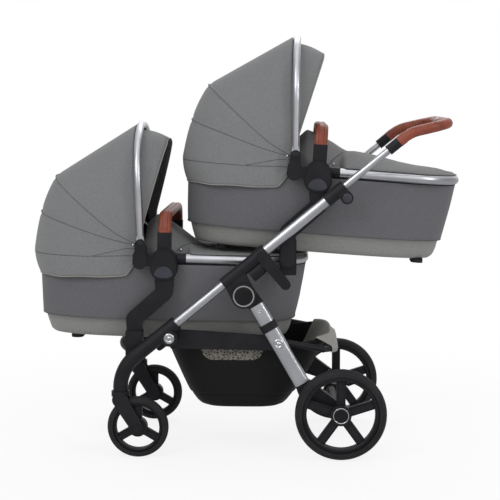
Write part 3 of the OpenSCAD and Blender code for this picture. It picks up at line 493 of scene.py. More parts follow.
# %% Arches of a hood
# Point that the arches fan out from (u, w), half width, turn of the bow, and lead of an arch's feet over it
APEX, HALF, BOW_TURN, LEAD = (-118.0, 40.0), 210.7, 87.0, 21.0
# Turn and reach of the cloth at the bow's back edge and at three seams, and its puff between them
SPOKES, PUFF = ((90.0, 381.0), (141.0, 334.0), (163.0, 321.0), (185.0, 329.0)), (0.0, 4.0, 2.0)
SEAMS, LAST_TURN = (141.0, 163.0), 185.0
# Turn and reach where the cloth bends down behind the bow and goes under it
UNDER_BOW = ((87.0, 87.7, 88.45, 88.8, 89.17, 89.4), (364.7, 366.0, 369.4, 373.5, 379.0, 383.5))
# Near the hinge the cloth goes inside the elbow and a little forward, each over its own spread
HINGE_TUCK, TUCK_SPREAD, HINGE_LEAD, LEAD_SPREAD = 7.0, 42.0, 12.0, 45.0
ACROSS = np.linspace(-1, 1, 73)
SPREAD = np.radians(90 - 44.7 * (ACROSS + np.sin(ACROSS * math.pi / 2)))


def stitch_draw(a):
    """Height of the cloth over its smooth shape near a seam: a fine ridge between two dips, in mm."""
    near = min(abs(a - s) for s in SEAMS)
    return 1.2 * math.exp(-(near / 0.45) ** 2) - 2.2 * math.exp(-((near - 1.5) / 1.1) ** 2)


def fan_reach(a):
    """Reach of the cloth at a turn: bent under the bow, then straight or puffed from spoke to spoke."""
    if a < UNDER_BOW[0][-1]:
        return float(np.interp(a, *UNDER_BOW))
    k = 0 if a < SEAMS[0] else 1 if a < SEAMS[1] else 2
    (a0, r0), (a1, r1) = SPOKES[k], SPOKES[k + 1]
    turn = np.radians([a1 - a0, a1 - a, a - a0])
    straight = math.sin(turn[0]) / (math.sin(turn[1]) / r0 + math.sin(turn[2]) / r1)
    return straight + PUFF[k] * math.sin(math.pi * max(0.0, a - a0) / (a1 - a0))


def arch_points(a):
    """The arch of the cloth at a turn, from side to side over the top."""
    c, s = np.cos(SPREAD), np.sin(SPREAD)
    k = (np.abs(c) ** 3 + s ** 3) ** (-1 / 3)
    rho = (fan_reach(a) + stitch_draw(a) * np.minimum(1, s * 2)) * s * k
    near_bow = float(smooth((SEAMS[0] - a) / (SEAMS[0] - BOW_TURN)))
    low = 1 - s * k
    lead = LEAD * (near_bow * low + (1 - near_bow) * low ** 8)
    lead += HINGE_LEAD * np.exp(-(rho / LEAD_SPREAD) ** 2)
    half = HALF - HINGE_TUCK * np.exp(-(rho / TUCK_SPREAD) ** 2)
    t = math.radians(a)
    return np.stack([APEX[0] + rho * math.cos(t) + lead, half * c * k, APEX[1] + rho * math.sin(t)], -1)


LAST = arch_points(LAST_TURN)
print("last arch reaches back to u", round(float(LAST[:, 0].min()), 1), "mm")

# %% [markdown]
# The skirt hangs from the last arch over the head end. Its hem has round front corners and a faint wave.
# Below the hinge its front edge is drawn back behind the hood elbow, and at the head end it is drawn in
# towards the hem.

# %% Skirt of a hood
run = np.concatenate([[0], np.cumsum(np.linalg.norm(np.diff(LAST, axis=0), axis=1))])
# Way along the last arch from the nearer of its two front edges
FROM_EDGE = np.minimum(run, run[-1] - run)
HEM_LEVEL, CORNER = -60.0, 44.0
SAG, SAG_RUN, WAVE, WAVE_RUN = 7.0, 300.0, 1.3, 23.0
HEM = (HEM_LEVEL + CORNER - np.sqrt(CORNER ** 2 - (CORNER - np.minimum(FROM_EDGE, CORNER)) ** 2)
       - SAG * smooth(FROM_EDGE / SAG_RUN) + WAVE * np.sin(FROM_EDGE / WAVE_RUN))
ELBOW_LEVEL, DRAWN_BACK, EDGE_SPREAD = -8.0, 19.0, 30.0
HEAD_LEVEL, HEAD_DEPTH, HEAD_DRAW = 20.0, 87.0, 20.0


def skirt(share):
    """The skirt a share of its way down from the last arch to the hem."""
    drop = LAST.copy()
    drop[:, 2] += (HEM - LAST[:, 2]) * share
    level = drop[:, 2]
    drop[:, 0] -= DRAWN_BACK * smooth((ELBOW_LEVEL - level) / 24) * np.exp(-FROM_EDGE / EDGE_SPREAD)
    tucked = np.sign(LAST[:, 1]) * HINGE_TUCK * np.exp(-(FROM_EDGE / TUCK_SPREAD) ** 2)
    drop[:, 1] += tucked * smooth((ELBOW_LEVEL - 2 - level) / 22)
    under = (np.clip(HEAD_LEVEL - level, 0, 90) / HEAD_DEPTH) ** 2.2
    drop[:, 0] += HEAD_DRAW * under * smooth((-300 - LAST[:, 0]) / 120)
    drop[:, 1] *= 1 - 0.02 * under
    return drop


def skirt_at(level):
    return skirt((LAST[:, 2] - level) / (LAST[:, 2] - HEM))


print("hem lies between w", round(float(HEM.min()), 1), "and", round(float(HEM.max()), 1), "mm")

# %% [markdown]
# The visor stands out in front of the bow and drops a little. It fades out towards the feet of the bow and
# gets narrower to its front edge. With its rows first, then the arches, closer together beside a seam, and
# then the skirt, the hood is one sheet.

# %% Rows of a hood
VISOR_ROWS, VISOR_REACH, VISOR_DROP, VISOR_TAPER = 8, 90.0, 27.0, 0.14
# Foot and height of the bow, and where the visor begins above that foot and how fast it gets full
BOW_FOOT, BOW_HEIGHT, VISOR_FOOT, VISOR_RUN = 5.0, 382.0, 55.0, 60.0
BESIDE_SEAM = (-2.6, -1.5, -0.8, -0.35, 0.0, 0.35, 0.8, 1.5, 2.6)


def hood_rows():
    first = arch_points(BOW_TURN)
    w = first[:, 2]
    rise = (np.clip((w - BOW_FOOT) / BOW_HEIGHT, 0, 1) * smooth((w - VISOR_FOOT) / VISOR_RUN))[:, None]
    rows = []
    for f in np.linspace(1, 0, VISOR_ROWS + 1)[:-1]:
        row = first + f * rise * np.array([VISOR_REACH - 4 * f * (1 - f), 0, -VISOR_DROP * f ** 0.9])
        rows.append(row * (1 - VISOR_TAPER * f * rise * np.array([0, 1, 0])))
    turns = sorted(set(UNDER_BOW[0]) | set(np.linspace(90.5, LAST_TURN, 43).round(2))
                   | {s + d for s in SEAMS for d in BESIDE_SEAM})
    rows += [arch_points(a) for a in turns] + [skirt(f) for f in np.linspace(0, 1, 13)[1:]]
    return np.array(rows), turns


HOOD, TURNS = hood_rows()
print("hood rows and columns", HOOD.shape[:2])

# %% [markdown]
# Inside is a black lining, and the visor is canvas on both sides. The third seam runs level round the skirt
# and forks on each side, one branch up to the hinge and one to the front edge. It is drawn on the skirt at
# the height where the photograph shows it. A paler binding edges the hem and the visor.

# %% Hood canopies
CANVAS = 3.0
FORK, FORK_RUN, SEAM_LEVEL, HINGE_RISE, EDGE_RISE = -237.0, 109.0, 2.0, 28.0, 5.0
past_fork = np.clip((LAST[:, 0] - FORK) / FORK_RUN, 0, 1)
hinge_branch = skirt_at(SEAM_LEVEL + HINGE_RISE * past_fork)
edge_branch = skirt_at(SEAM_LEVEL + EDGE_RISE * past_fork)
for which in COTS:
    cloth = skin(which + "_hood_cloth", in_cot(which, HOOD), [hood_canvas, lining, hood_canvas], None,
                 lambda row, column: 2 if row < VISOR_ROWS else 0)
    thicken(cloth, CANVAS)
    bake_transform(cloth)
    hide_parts(which + "_hood_canopy")
    lines = [HOOD[VISOR_ROWS + TURNS.index(s)] for s in SEAMS] + [hinge_branch]
    lines += [edge_branch[(edge_branch[:, 1] * side > 0) & (LAST[:, 0] > FORK - 3) & (FROM_EDGE > 4)]
              for side in (-1, 1)]
    piping = tube(which + "_hood_seams", [in_cot(which, p) for p in lines], 0.0009, seam_thread, None,
                  6)
    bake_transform(piping)
    hem = tube(which + "_hood_hem", [in_cot(which, HOOD[-1]), in_cot(which, HOOD[0])], 0.0017, pale_panel,
               None, 6)
    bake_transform(hem)

# %% [markdown]
# ## Cot bodies
# A cot is a padded tub. Its upper part is a charcoal cover that stands out 10 mm over a paler lower band,
# and the inside is lined. The whole tub is one skin of rings, from the middle of the base up the outside,
# over the rolled top edge and down the inside, and each ring picks its cloth. The fine waviness of stretched
# canvas comes from a little smooth noise, which only goes inwards, so the tub keeps clear of the hubs.

# %% Rings of a cot
AROUND = np.radians(np.arange(0, 360, 3.0))
HEAD, FOOT, WIDE, SHARP = 426.0, 453.0, 202.0, 3.2


def oval(x0, x1, half, sharp, z):
    c, s = np.cos(AROUND), np.sin(AROUND)
    return np.stack([(x0 + x1) / 2 + (x1 - x0) / 2 * np.sign(c) * np.abs(c) ** (2 / sharp),
                     half * np.sign(s) * np.abs(s) ** (2 / sharp), np.full_like(c, z)], -1)


def cot_ring(w, head, foot, side):
    """A level ring of the cot, drawn in from its head end, foot end and sides."""
    return oval(head - HEAD, FOOT - foot, WIDE - side, SHARP, w)


# Rings from the base up and in again: height, then how far head end, foot end and sides are drawn in
CHARCOAL, STONE, INSIDE = 0, 1, 2
RINGS = [(-260.5, 300, 330, 150, STONE), (-261, 56, 78, 44, STONE), (-259.5, 46, 68, 33, STONE),
         (-253, 37.5, 58.5, 23.5, STONE), (-243, 33.5, 52.5, 20.5, STONE), (-226, 27.5, 46.5, 17.5, STONE),
         (-203, 20.5, 42.5, 15.2, STONE), (-200.5, 18, 40, 13, STONE), (-200, 11.5, 34, 6.5, CHARCOAL),
         (-197.5, 10, 32.6, 5.2, CHARCOAL), (-190, 9.4, 31, 4.8, CHARCOAL), (-165, 7.4, 25.6, 3.6, CHARCOAL),
         (-130, 5.2, 18.6, 2.2, CHARCOAL), (-100, 3.8, 13.4, 1.5, CHARCOAL), (-65, 2.2, 7.4, 0.9, CHARCOAL),
         (-32, 0.9, 2.4, 0.6, CHARCOAL), (-19, 0.8, 1.2, 0.7, CHARCOAL), (-15.8, 3.2, 3.4, 3, CHARCOAL),
         (-18, 7.4, 7.6, 7.2, INSIDE), (-30, 8.4, 9.6, 8.2, INSIDE), (-100, 11.6, 21.6, 9.6, INSIDE),
         (-170, 20, 38, 16, INSIDE), (-215, 31, 56, 26, INSIDE), (-249, 54, 76, 40, INSIDE),
         (-252.5, 120, 150, 90, INSIDE), (-252.5, 300, 330, 150, INSIDE)]
print(len(RINGS), "rings of", len(AROUND), "points")

# %% [markdown]
# A thin cord marks the seam between cover and band, and a black binding lies on the top edge.

# %% Cot skins
BAND_SEAM, TOP_EDGE = (-198.6, 11, 33.4, 6.2), (-17.2, 2.5, 2.5, 2.5)
# Length and height of a crease, and how far it may draw the cloth in, as a share
CREASE_LENGTH, CREASE_HEIGHT, CREASE_SHARE = 70.0, 55.0, 0.0045
# Where in the noise each cot's creases are taken from, so that the two cots differ
CREASES_FROM = {"lower": 0, "upper": 7}


def tub_rows(which):
    rows = []
    for w, head, foot, side, cloth in RINGS:
        ring = cot_ring(w, head, foot, side)
        if cloth != INSIDE and -256 < w < -20:
            for p in ring:
                soft = noise.noise(Vector((p[0] / CREASE_LENGTH, p[1] / CREASE_LENGTH,
                                           w / CREASE_HEIGHT + CREASES_FROM[which])))
                p[:2] *= 1 - CREASE_SHARE * (0.5 + 0.5 * soft)
        rows.append(ring)
    return in_cot(which, rows)


for which in COTS:
    tub = skin(which + "_cot_body", tub_rows(which), [body_canvas, band_canvas, lining], which + "_cot",
               index=lambda row, column: RINGS[row + 1][4], loop=True)
    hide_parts(which + "_cot_shell")
    tube(which + "_band_seam", [in_cot(which, cot_ring(*BAND_SEAM))], 0.0012, seam_thread, which + "_cot",
         6, loop=True)
    tube(which + "_top_binding", [in_cot(which, cot_ring(*TOP_EDGE))], 0.0022, lining, which + "_cot",
         8, loop=True)
    print(which, "cot body", round(area_of(tub), 2), "m2 of cloth")

# %% [markdown]
# ## Aprons
# The apron covers the legs. It is crowned over the baby's feet and its hem lies on top of the rim tube, and
# at its head end a wind flap stands up behind the carry handle. It is a thin quilted sheet, so it is drawn
# as rows across the cot, each a flat-topped arch, with a crest line taken from the photograph. A curved seam
# marks where the flap begins. The lower cot's apron stays low where the upper cot hangs over it.

# %% Shape of an apron
# Stations along the cot and the height of the crown over the hub
CREST = {"upper": ((-70, -45, -24, 0, 40, 72, 94, 120, 180, 228, 270, 320, 360, 394, 412, 432, 450),
                   (100, 126, 120, 110, 92, 74, 64, 66, 59, 49.5, 41, 34, 31.5, 29.5, 26, 21, 17)),
         "lower": ((-70, -45, -24, 0, 40, 68, 94, 120, 180, 259, 412, 450),
                   (100, 126, 118, 104, 74, 52, 30, 22, 20, 18.5, 17.5, 16.5))}
RIM_Y, RIM_END, RIM_CORNER, RIM_TOP = 193.0, 444.0, 140.0, 15.0
SOCKET_END, INSIDE_SOCKET, QUILT, OVERLAP = 68.0, 174.7, 3.0, 6.0
# Height of the edge between the sockets, and the gap between hem and rim tube
LOW_EDGE, HEM_GAP = 4.0, 0.4
# Station of the flap's seam in the middle, and how far its ends run towards the head end
FLAP_MIDDLE, FLAP_BOW = 94.0, 74.0
APRON_HEAD, APRON_FOOT, ROUND_START = -70.0, RIM_END + OVERLAP, RIM_END - RIM_CORNER
FINE = np.linspace(APRON_HEAD, APRON_FOOT, 521)


def apron_half(x):
    """Half width of the apron: between the sockets, then over the rim tube and round its corner."""
    if x < ROUND_START:
        return INSIDE_SOCKET + (RIM_Y + OVERLAP - INSIDE_SOCKET) * float(smooth((x - SOCKET_END - 2) / 18))
    return RIM_Y - RIM_CORNER + math.sqrt((RIM_CORNER + OVERLAP) ** 2 - (x - ROUND_START) ** 2)


def flap_seam(t):
    return FLAP_MIDDLE - FLAP_BOW * t ** 2


def apron_point(x, t, crown):
    """A point of the apron at a station along the cot and a share across it."""
    on_rim = float(smooth((x - SOCKET_END + 2) / 12))
    edge = LOW_EDGE + (RIM_TOP + QUILT + HEM_GAP - LOW_EDGE) * on_rim
    drawn_in = 1.8 * math.exp(-((x - flap_seam(t)) / 3.0) ** 2) * (1 - t ** 2)
    ripple = abs(noise.noise(Vector((x / 60, t * 2.2, 3.1)))) * 1.6 * (1 - t ** 4)
    height = edge + (np.interp(x, FINE, crown) - edge) * (1 - abs(t) ** 2.6) - drawn_in - ripple
    return x, t * apron_half(x), height


print("apron", APRON_FOOT - APRON_HEAD, "mm long and", 2 * apron_half(ROUND_START), "mm wide")

# %% [markdown]
# The crest line is rounded off by a running mean before the rows are drawn, and the stations come closer
# together round the foot end.

# %% Aprons
for which in COTS:
    crown = np.interp(FINE, *CREST[which])
    kernel = np.exp(-np.linspace(-2, 2, 19) ** 2)
    crown[9:-9] = np.convolve(crown, kernel / kernel.sum(), "valid")
    round_end = np.sin(np.linspace(0.06, 1, 20) * math.pi / 2)
    stations = np.concatenate([np.linspace(APRON_HEAD, ROUND_START, 68),
                               ROUND_START + (RIM_CORNER + OVERLAP) * round_end])
    rows = [[apron_point(x, t, crown) for t in np.linspace(1, -1, 41)] for x in stations]
    apron = skin(which + "_apron_cloth", in_cot(which, rows), [hood_canvas, lining], which + "_cot")
    thicken(apron, QUILT)
    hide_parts(which + "_cot_apron")
    seam = [apron_point(flap_seam(t), t, crown) for t in np.linspace(0.995, -0.995, 61)]
    lines = [in_cot(which, np.array(line) + np.array([0, 0, 0.3])) for line in (rows[0], seam)]
    tube(which + "_apron_seams", lines, 0.0013, seam_thread, which + "_cot", 6)

# %% [markdown]
# ## Mattresses
# A carrycot mattress is a foam pad in a knitted cover: flat where it lies on the base, crowned on top, with
# a round edge and a piped seam. It is made of rings from the bottom up to the middle of the crown.

# %% Mattresses
# Rings as for a cot: height, then how far head end, foot end and sides are drawn in
PAD = [(-252.6, 300, 330, 150), (-252.8, 78, 115, 64), (-251.5, 68, 105, 54), (-246, 60, 97, 46),
       (-236, 58, 95, 44), (-225, 58, 95, 44), (-216, 61, 98, 47), (-211, 67, 104, 53), (-208, 80, 117, 66),
       (-206.6, 120, 155, 96), (-205.8, 220, 250, 130), (-205.6, 390, 425, 156)]
PIPING = (-230.5, 57.4, 94.4, 43.4)
for which in COTS:
    rows = [cot_ring(*ring) for ring in PAD]
    pad = skin(which + "_mattress_pad", in_cot(which, rows), [ticking], which + "_cot",
               loop=True)
    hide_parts(which + "_cot_mattress")
    tube(which + "_mattress_piping", [in_cot(which, cot_ring(*PIPING))], 0.0022, ticking, which + "_cot",
         8, loop=True)
print("mattress crown", round(float(in_cot("lower", (0, 0, PAD[-1][0]))[2]), 3), "m above the floor")

# %% [markdown]
# ## Basket
# The shopping basket is a black nylon tub that hangs in the rails. Its walls lean in to a boxy base with a
# sewn band. It is skinned like a cot body, with a base that sags under its own weight.

# %% Basket tub
BASE_FRONT, BASE_BACK, BASE_HALF, BASE_LEVEL = -139.0, 131.0, 170.0, 140.0
MOUTH_FRONT, MOUTH_BACK, MOUTH_HALF, MOUTH_LEVEL = -258.7, 280.0, 213.7, 356.0
# The mouth rises towards the back, and the end walls hollow a little
BACK_RISE, HOLLOW, CORNERS = 14.0, 3.6, 4


def basket_span(share):
    """Front, back and half width of the basket at a share of its height."""
    return (BASE_FRONT + (MOUTH_FRONT - BASE_FRONT) * share ** 0.6,
            BASE_BACK + (MOUTH_BACK - BASE_BACK) * share ** 0.8,
            BASE_HALF + (MOUTH_HALF - BASE_HALF) * share ** 0.6)


def basket_ring(share, inset, dip=0.0):
    """A ring of the basket at a share of its height, drawn in all round, with a dip for the sagging base."""
    z = BASE_LEVEL + (MOUTH_LEVEL - BASE_LEVEL) * share - dip
    front, back, half = basket_span(share)
    ring = oval(front + inset, back - inset, half - inset, CORNERS, z)
    ring[:, 0] -= np.sign(ring[:, 0]) * HOLLOW * math.sin(math.pi * min(share, 1))
    ring[:, 2] += BACK_RISE * share ** 2 * smooth((ring[:, 0] - 150) / 120)
    for p in ring:
        soft = 0.5 + 0.5 * noise.noise(Vector((p[0] / 90, p[1] / 90, z / 80)))
        p[:2] *= 1 - 0.008 * share * (1 - share) * 4 * soft
    return ring


# Rings from the base up the outside and down the inside: share of the height, inset and dip
TUB = [(0, 120, 4.5), (0, 60, 3.5), (0, 22, 1.5), (0.005, 9, 0), (0.03, 3.5, 0), (0.07, 3, 0), (0.14, 3.2, 0),
       (0.20, 3.4, 0), (0.205, 3.6, 0), (0.212, 0.6, 0), (0.24, 0.3, 0), (0.32, 0.8, 0), (0.45, 1.0, 0),
       (0.6, 0.8, 0), (0.75, 0.5, 0), (0.9, 0.3, 0), (0.97, 0.2, 0), (0.995, 0.6, 0), (1.0, 2.0, 0),
       (0.99, 3.6, 0), (0.9, 4.2, 0), (0.6, 4.6, 0), (0.3, 5.0, 0), (0.06, 8, 0), (0.02, 22, -0.5),
       (0.02, 60, 1.5), (0.02, 120, 2.5)]
rows = np.array([basket_ring(*ring) for ring in TUB]) / 1000
basket = skin("basket_tub", rows, [basket_nylon], "chassis", loop=True)
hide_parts("basket")
bands = [basket_ring(0.209, 2.2) / 1000, basket_ring(0.93, -0.2) / 1000]
tube("basket_seams", bands, 0.0012, basket_nylon, "chassis", 6, loop=True)

# %% [markdown]
# Each side of the basket has a window of knitted mesh below the rail. The knit's open cells are 2 to 3 mm
# wide and are drawn at 9 mm, so that they show: taupe threads round dark holes. The window is a sheet that
# lies on the wall, narrower and rounder towards its lower edge.

# %% Mesh windows
MESH_MM = 9.0
WINDOW_FRONT, WINDOW_BACK, WINDOW_TOP, WINDOW_DEPTH = -139.0, 69.0, 352.0, 50.0
WINDOW_TAPER, WINDOW_CORNER = 14.0, 22.0
SIDES = ((-1, "left"), (1, "right"))
mesh_knit, tree, shader = new_material("taupe_mesh_knit", Roughness=0.85)
place = node(tree, "ShaderNodeTexCoord")
cells = node(tree, "ShaderNodeTexVoronoi", {"feature": "DISTANCE_TO_EDGE"},
             {"Vector": place.outputs["Object"], "Scale": 1000 / MESH_MM})
share = node(tree, "ShaderNodeMapRange", None,
             {"Value": cells.outputs["Distance"], "From Min": 0.03, "From Max": 0.22})
tint = node(tree, "ShaderNodeMix", {"data_type": "RGBA"},
            {0: share.outputs[0], COLOUR_A: linear("#7d7972"), COLOUR_B: linear("#2c2b2a")})
tree.links.new(tint.outputs[MIXED], shader.inputs["Base Color"])
bump = node(tree, "ShaderNodeBump", None,
            {"Strength": 0.5, "Distance": 0.001, "Height": cells.outputs["Distance"]})
tree.links.new(bump.outputs[0], shader.inputs["Normal"])


def wall_y(x, z):
    """Half width of the basket's wall at a place along it and a height."""
    front, back, half = basket_span((z - BASE_LEVEL) / (MOUTH_LEVEL - BASE_LEVEL))
    return half * (1 - abs((x - (front + back) / 2) / ((back - front) / 2)) ** CORNERS) ** (1 / CORNERS)


for side, name in SIDES:
    grid = []
    for v in np.linspace(0, 1, 9):
        z = WINDOW_TOP - WINDOW_DEPTH * v
        rounded = 1 - math.sqrt(max(0.0, 1 - max(0.0, (v - 0.45) / 0.55) ** 2))
        drawn_in = WINDOW_TAPER * v + WINDOW_CORNER * rounded
        xs = np.linspace(WINDOW_FRONT + drawn_in, WINDOW_BACK - drawn_in, 33)[::side]
        grid.append([(x / 1000, side * (wall_y(x, z) + 0.05) / 1000, z / 1000) for x in xs])
    window = skin("basket_window_" + name, grid, [mesh_knit], "chassis")
    print("mesh window", name, "has", round(area_of(window), 4), "m2")

# %% [markdown]
# A pale grey panel wraps the back edge of the basket and its rail. It comes up inside the back wall, goes
# over the edge and round the outside of the rail tube, so its rows are rings of the basket, cut to the back
# part, and then lines round the rail.

# %% Back panel
# Centre line of the rail at its back and at its corner (x, y, z), and the panel's distance from it
RAIL_BACK, RAIL_CORNER, RAIL_SIDE = (293, 159, 334), (255, 216, 340), 12.8
# Rows inside the basket and over its edge: share of the height, inset and dip
OVER_EDGE = [(0.62, 5.6, 0), (0.78, 5.4, 0), (0.9, 5.2, 0), (1.0, 4.6, -2), (1.02, 1.5, -3),
             (1.015, -1.2, -2)]
ROUND_RAIL = (68, 35, 0, -40, -80)
back = (np.degrees(AROUND) < 50) | (np.degrees(AROUND) > 310)
order = np.argsort((np.degrees(AROUND)[back] + 180) % 360)
rows = [basket_ring(*ring)[back][order] for ring in OVER_EDGE]
side_y = rows[-1][:, 1]
across = np.abs(side_y)
turn = np.clip((across - RAIL_BACK[1]) / (RAIL_CORNER[1] - RAIL_BACK[1]), 0, 1)
rail = np.stack([RAIL_BACK[0] + (RAIL_CORNER[0] - RAIL_BACK[0]) * turn, side_y,
                 RAIL_BACK[2] + (RAIL_CORNER[2] - RAIL_BACK[2]) * turn], -1)
lean = smooth((across - 120) / 70)
outward = np.stack([1 - 0.17 * lean, 0.55 * lean * np.sign(side_y), 0 * lean], -1)
for angle in ROUND_RAIL:
    a = math.radians(angle)
    rows.append(rail + RAIL_SIDE * (outward * math.cos(a) + np.array([0, 0, math.sin(a)])))
panel = skin("basket_back_panel", np.array(rows[::-1]) / 1000, [pale_panel], "chassis")

# %% [markdown]
# ## Finishes of the rigid pieces
# Every CAD node that stays in view takes the finish of its slot in the record, so the table from slot to
# material is all that is needed. Only the cots' release buttons differ: they have the paler soft-touch
# plastic.

# %% Finish of each CAD node
FINISH = {"aluminium_satin": aluminium, "black_plastic": nylon, "bright_chrome": chrome, "axle_steel": chrome,
          "tan_leather": leather, "tyre_rubber": tyre, "foot_rubber": feet}
for part in frame["record"]["subparts"]:
    if part["material_slot"] in FINISH:
        finish = button_plastic if "cot_button" in part["node"] else FINISH[part["material_slot"]]
        mesh = nodes[part["node"]].data
        mesh.materials.clear()
        mesh.materials.append(finish)

# %% [markdown]
# ## Badges and studs
# Small turned pieces catch the eye: a dark lacquered disc inside the bright ring of each frame hub, and
# studs and screws with a driven recess. All are drawn as a profile turned about an axle across the pram. The
# discs are left plain.

# %% Badges, studs and screws of the frame
lacquer = moulded("black_badge_lacquer", "#0f0f11", "#161619", 0.2, 6.0, 0.00005)
# Places in the side view (x, z), and how far out each face is
PIVOT, RIVET = (4.7, 518.7), (-230.0, 384.0)
HUB_FACE, ARM_FACE, BAND_FACE, KNUCKLE_FACE = 283.0, 290.5, 265.0, 261.0
# Lean of the rear legs, and how their upper end lies below and behind the pivot along that lean
LEG, LEG_DOWN, LEG_BACK = math.radians(30.3), 47.6, 16.6
STUD_ALONG, SCREW_ALONG = 141.0, 22.0
leg_top = (PIVOT[0] + LEG_DOWN * math.sin(LEG) + LEG_BACK * math.cos(LEG),
           PIVOT[1] - LEG_DOWN * math.cos(LEG) + LEG_BACK * math.sin(LEG))


def on_leg(s):
    return leg_top[0] + s * math.sin(LEG), leg_top[1] - s * math.cos(LEG)


def both_sides(place, face):
    """A place in the side view as it lies on the left and on the right face of the pram."""
    return [(place[0], side * face, place[1], side) for side in (-1, 1)]


# Profiles as (radius, height) in mm, but for the disc, whose radius is a share
DISC = [(1.0, 0), (0.99, 0.5), (0.8, 0.9), (0.4, 1.1), (0.001, 1.2)]
STUD = [(16.2, 0), (15.6, 1.0), (12.5, 1.6), (9.2, 1.7), (8.6, 0.7), (6.2, 0.5), (5.6, 1.5), (3.0, 1.9),
        (0.01, 2.0)]
SCREW = [(4.6, 0), (4.3, 1.2), (2.4, 1.4), (2.1, 0.6), (0.01, 0.6)]
HUB_DISC_R = 31.0
hub_disc = [(HUB_DISC_R * r, h) for r, h in DISC]
turned("hub_discs", hub_disc, both_sides(PIVOT, HUB_FACE), lacquer, "chassis")
turned("frame_studs", STUD, both_sides(RIVET, ARM_FACE), chrome, "chassis")
turned("leg_studs", STUD, both_sides(on_leg(STUD_ALONG), BAND_FACE), chrome, "rear_frame")
turned("leg_screws", SCREW, both_sides(on_leg(SCREW_ALONG), KNUCKLE_FACE), chrome, "rear_frame")
print("leg studs at", [round(x, 1) for x in on_leg(STUD_ALONG)], "mm")

# %% [markdown]
# Each rear wheel has a thin chrome ring round a dark disc on its hub. A moulded line runs round the outer
# face of a rear tyre and round both faces of a front tyre. It is a thin tube that lies in the rubber.

# %% Wheel rings and tyre lines
REAR_AXLE, REAR_HUB_FACE, REAR_TYRE_FACE, REAR_LINE_R = (311.0, 145.0), 307.0, 306.0, 131.0
FRONT_AXLE, FRONT_WHEEL_Y, FRONT_TYRE_HALF, FRONT_LINE_R = (-332.0, 97.5), 264.0, 17.4, 86.0
RING = [(25.4, 0), (25.2, 1.0), (24.2, 1.5), (23.0, 1.3), (22.4, 0.4)]
wheel_disc = [(RING[-1][0] * r, h) for r, h in DISC]


def round_line(centre, y, radius, count):
    """A circle about an axle across the pram, as points in metres."""
    turns = np.linspace(0, 2 * math.pi, count + 1)[:-1]
    return [(np.array([centre[0] + radius * math.cos(a), y, centre[1] + radius * math.sin(a)]) / 1000)
            for a in turns]


for side, name in SIDES:
    hub = [(REAR_AXLE[0], side * REAR_HUB_FACE, REAR_AXLE[1], side)]
    turned("wheel_ring_" + name, RING, hub, chrome, "rear_wheel_" + name)
    turned("wheel_disc_" + name, wheel_disc, hub, lacquer, "rear_wheel_" + name)
    line = round_line(REAR_AXLE, side * REAR_TYRE_FACE, REAR_LINE_R, 96)
    tube("rear_tyre_line_" + name, [line], 0.0013, tyre, "rear_wheel_" + name, 6, True)
    for face in (-1, 1):
        line = round_line(FRONT_AXLE, side * FRONT_WHEEL_Y + face * FRONT_TYRE_HALF, FRONT_LINE_R, 72)
        tube("front_tyre_line_" + name + ("_out" if face == side else "_in"), [line], 0.0011, tyre,
             "front_wheel_" + name, 6, True)
    print(name, "wheels have their rings and lines")

# %% [markdown]
# A paler disc is let into each handle collar. A round cap covers each hood hinge, and small chrome poppers
# hold the hood and the apron to the cot.

# %% Collar discs, hinge caps and poppers
COLLAR, COLLAR_FACE = (327.4, 827.7), 284.0
COLLAR_DISC = [(14.7, 0), (14.3, 0.6), (9.0, 1.0), (0.01, 1.1)]
CAP = [(15.2, 0), (14.8, 1.2), (13.2, 1.5), (12.6, 0.6), (11.8, 0.6), (11.2, 1.3), (0.01, 1.7)]
POPPER = [(4.2, -1), (4.0, 1.0), (3.0, 2.0), (1.5, 2.5), (0.01, 2.6)]
# Places in the cot (u, w), and how far out each face is
HINGE, HOOD_POPPER, APRON_POPPER = (-76, 47), (-102, 42), (47, 25)
CAP_FACE, HOOD_FACE, APRON_FACE = 237.0, 204.5, 159.5


def cot_sides(which, place, face):
    """A place in a cot's side view as it lies on both sides of that cot."""
    point = in_cot(which, (place[0], 0, place[1])) * 1000
    return both_sides((point[0], point[2]), face)


turned("ear_discs", COLLAR_DISC, both_sides(COLLAR, COLLAR_FACE), button_plastic, "chassis")
for which in COTS:
    turned(which + "_hinge_caps", CAP, cot_sides(which, HINGE, CAP_FACE), nylon, which + "_cot")
    poppers = cot_sides(which, HOOD_POPPER, HOOD_FACE) + cot_sides(which, APRON_POPPER, APRON_FACE)
    turned(which + "_poppers", POPPER, poppers, chrome, which + "_cot")
    print(which, "cot has", len(poppers), "poppers")

# %% [markdown]
# ## Stitches
# The leather covers are sewn on by hand: a row of long stitches along the inner side of the push handle, and
# one along each edge of the carry arches. The grip's centre line is worked out as the CAD draws it, and each
# stitch is a short thread that lies on the cover.

# %% Stitches
thread = moulded("brown_waxed_thread", "#3a1a10", "#4a2417", 0.7, 1.5, 0.0003)
PITCH, THREAD_R = 7.0, 0.0008
# Ends and middle of a stitch as shares of the pitch
STITCH = (0.0, 0.3, 0.6)


def stitches(name, lines, body):
    """Short threads along lines of points in mm that lie on a cover."""
    pieces = []
    for line in lines:
        p = np.array(line, float)
        run = np.concatenate([[0], np.cumsum(np.linalg.norm(np.diff(p, axis=0), axis=1))])
        for s in np.arange(PITCH / 2, run[-1] - PITCH / 2, PITCH):
            pieces.append([[np.interp(s + PITCH * f, run, p[:, k]) / 1000 for k in range(3)] for f in STITCH])
    tube(name, pieces, THREAD_R, thread, body, 5)
    print(name, len(pieces))


print("thread made:", thread.name)

# %% [markdown]
# The grip runs up along the tube's slope, bends flat on each side and then turns across the pram. Half of
# its line of stitches is drawn on the inner side of the cover, and the other half is its mirror image.

# %% Push handle stitches
SLOPE, FLAT = math.radians(39.4), math.radians(13)
TUBE_FOOT, TUBE_Y = (-59.0, 553.0), 264.0
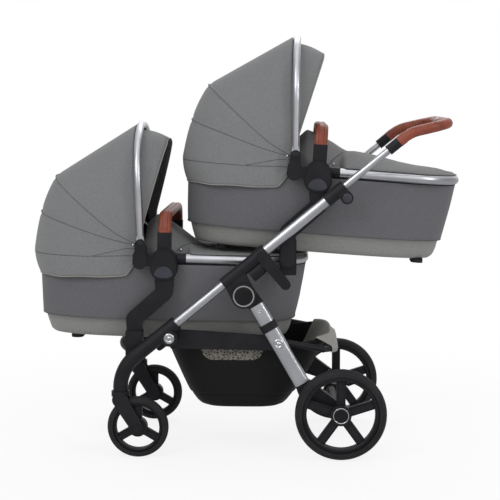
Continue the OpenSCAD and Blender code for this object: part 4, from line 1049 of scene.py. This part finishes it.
# Way along the tube to the bend and to the first stitches, radius of the bend and flat run after it
BEND_AT, COVER_FROM, BEND, SIDE_RUN = 726.0, (729, 731), 120.0, 21.0
COVER_R, GRIP_CORNER = 16.7, 75.0
# How far the stitches are inside and below the grip's centre line where it turns across the pram
ROW_IN, ROW_DOWN = 13.4, 10.0


def along(s, drop=0.0):
    """A point (x, z) along the handle tube, a drop below its centre line."""
    return (TUBE_FOOT[0] + s * math.cos(SLOPE) + drop * math.sin(SLOPE),
            TUBE_FOOT[1] + s * math.sin(SLOPE) - drop * math.cos(SLOPE))


centre = along(BEND_AT, BEND)
knee = (centre[0] - BEND * math.sin(FLAT), centre[1] + BEND * math.cos(FLAT))
side_line = [(*along(s), SLOPE) for s in COVER_FROM] + [
    (centre[0] + BEND * math.cos(t), centre[1] + BEND * math.sin(t), t - math.pi / 2)
    for t in np.radians(np.linspace(129.4, 103, 9))[1:]]
half = []
for x, z, lean in side_line:
    below = np.array([math.sin(lean), 0, -math.cos(lean)])
    half.append((x, TUBE_Y - COVER_R * 0.8, z) + below * COVER_R * 0.6)
below = np.array([math.sin(FLAT), 0, -math.cos(FLAT)])
for a in np.radians(np.linspace(0, 90, 13)):
    run = SIDE_RUN + GRIP_CORNER * math.sin(a) - ROW_IN * math.sin(a)
    y = TUBE_Y - GRIP_CORNER + GRIP_CORNER * math.cos(a) - ROW_IN * math.cos(a)
    point = np.array([knee[0] + run * math.cos(FLAT), y, knee[1] + run * math.sin(FLAT)])
    half.append(point + below * ROW_DOWN)
loop = half + [p * np.array([1, -1, 1]) for p in reversed(half)]
stitches("grip_stitches", [loop], "handle")

# %% [markdown]
# Each carry arch has a row of stitches near both edges, on the outer side of its round ends and over the top.

# %% Carry arch stitches
ARCH_Y, ARCH_W, ARCH_R, ROW_ASIDE = 170, 87, 65.2, 8.5
for which in COTS:
    lines = []
    for u in (-ROW_ASIDE, ROW_ASIDE):
        arc = [(u, ARCH_Y + ARCH_R * math.cos(a), ARCH_W + ARCH_R * math.sin(a))
               for a in np.radians(np.linspace(4, 90, 12))]
        lines.append(in_cot(which, arc + [(u, -y, w) for u, y, w in reversed(arc)]) * 1000)
    stitches(which + "_arch_stitches", lines, which + "_carry")
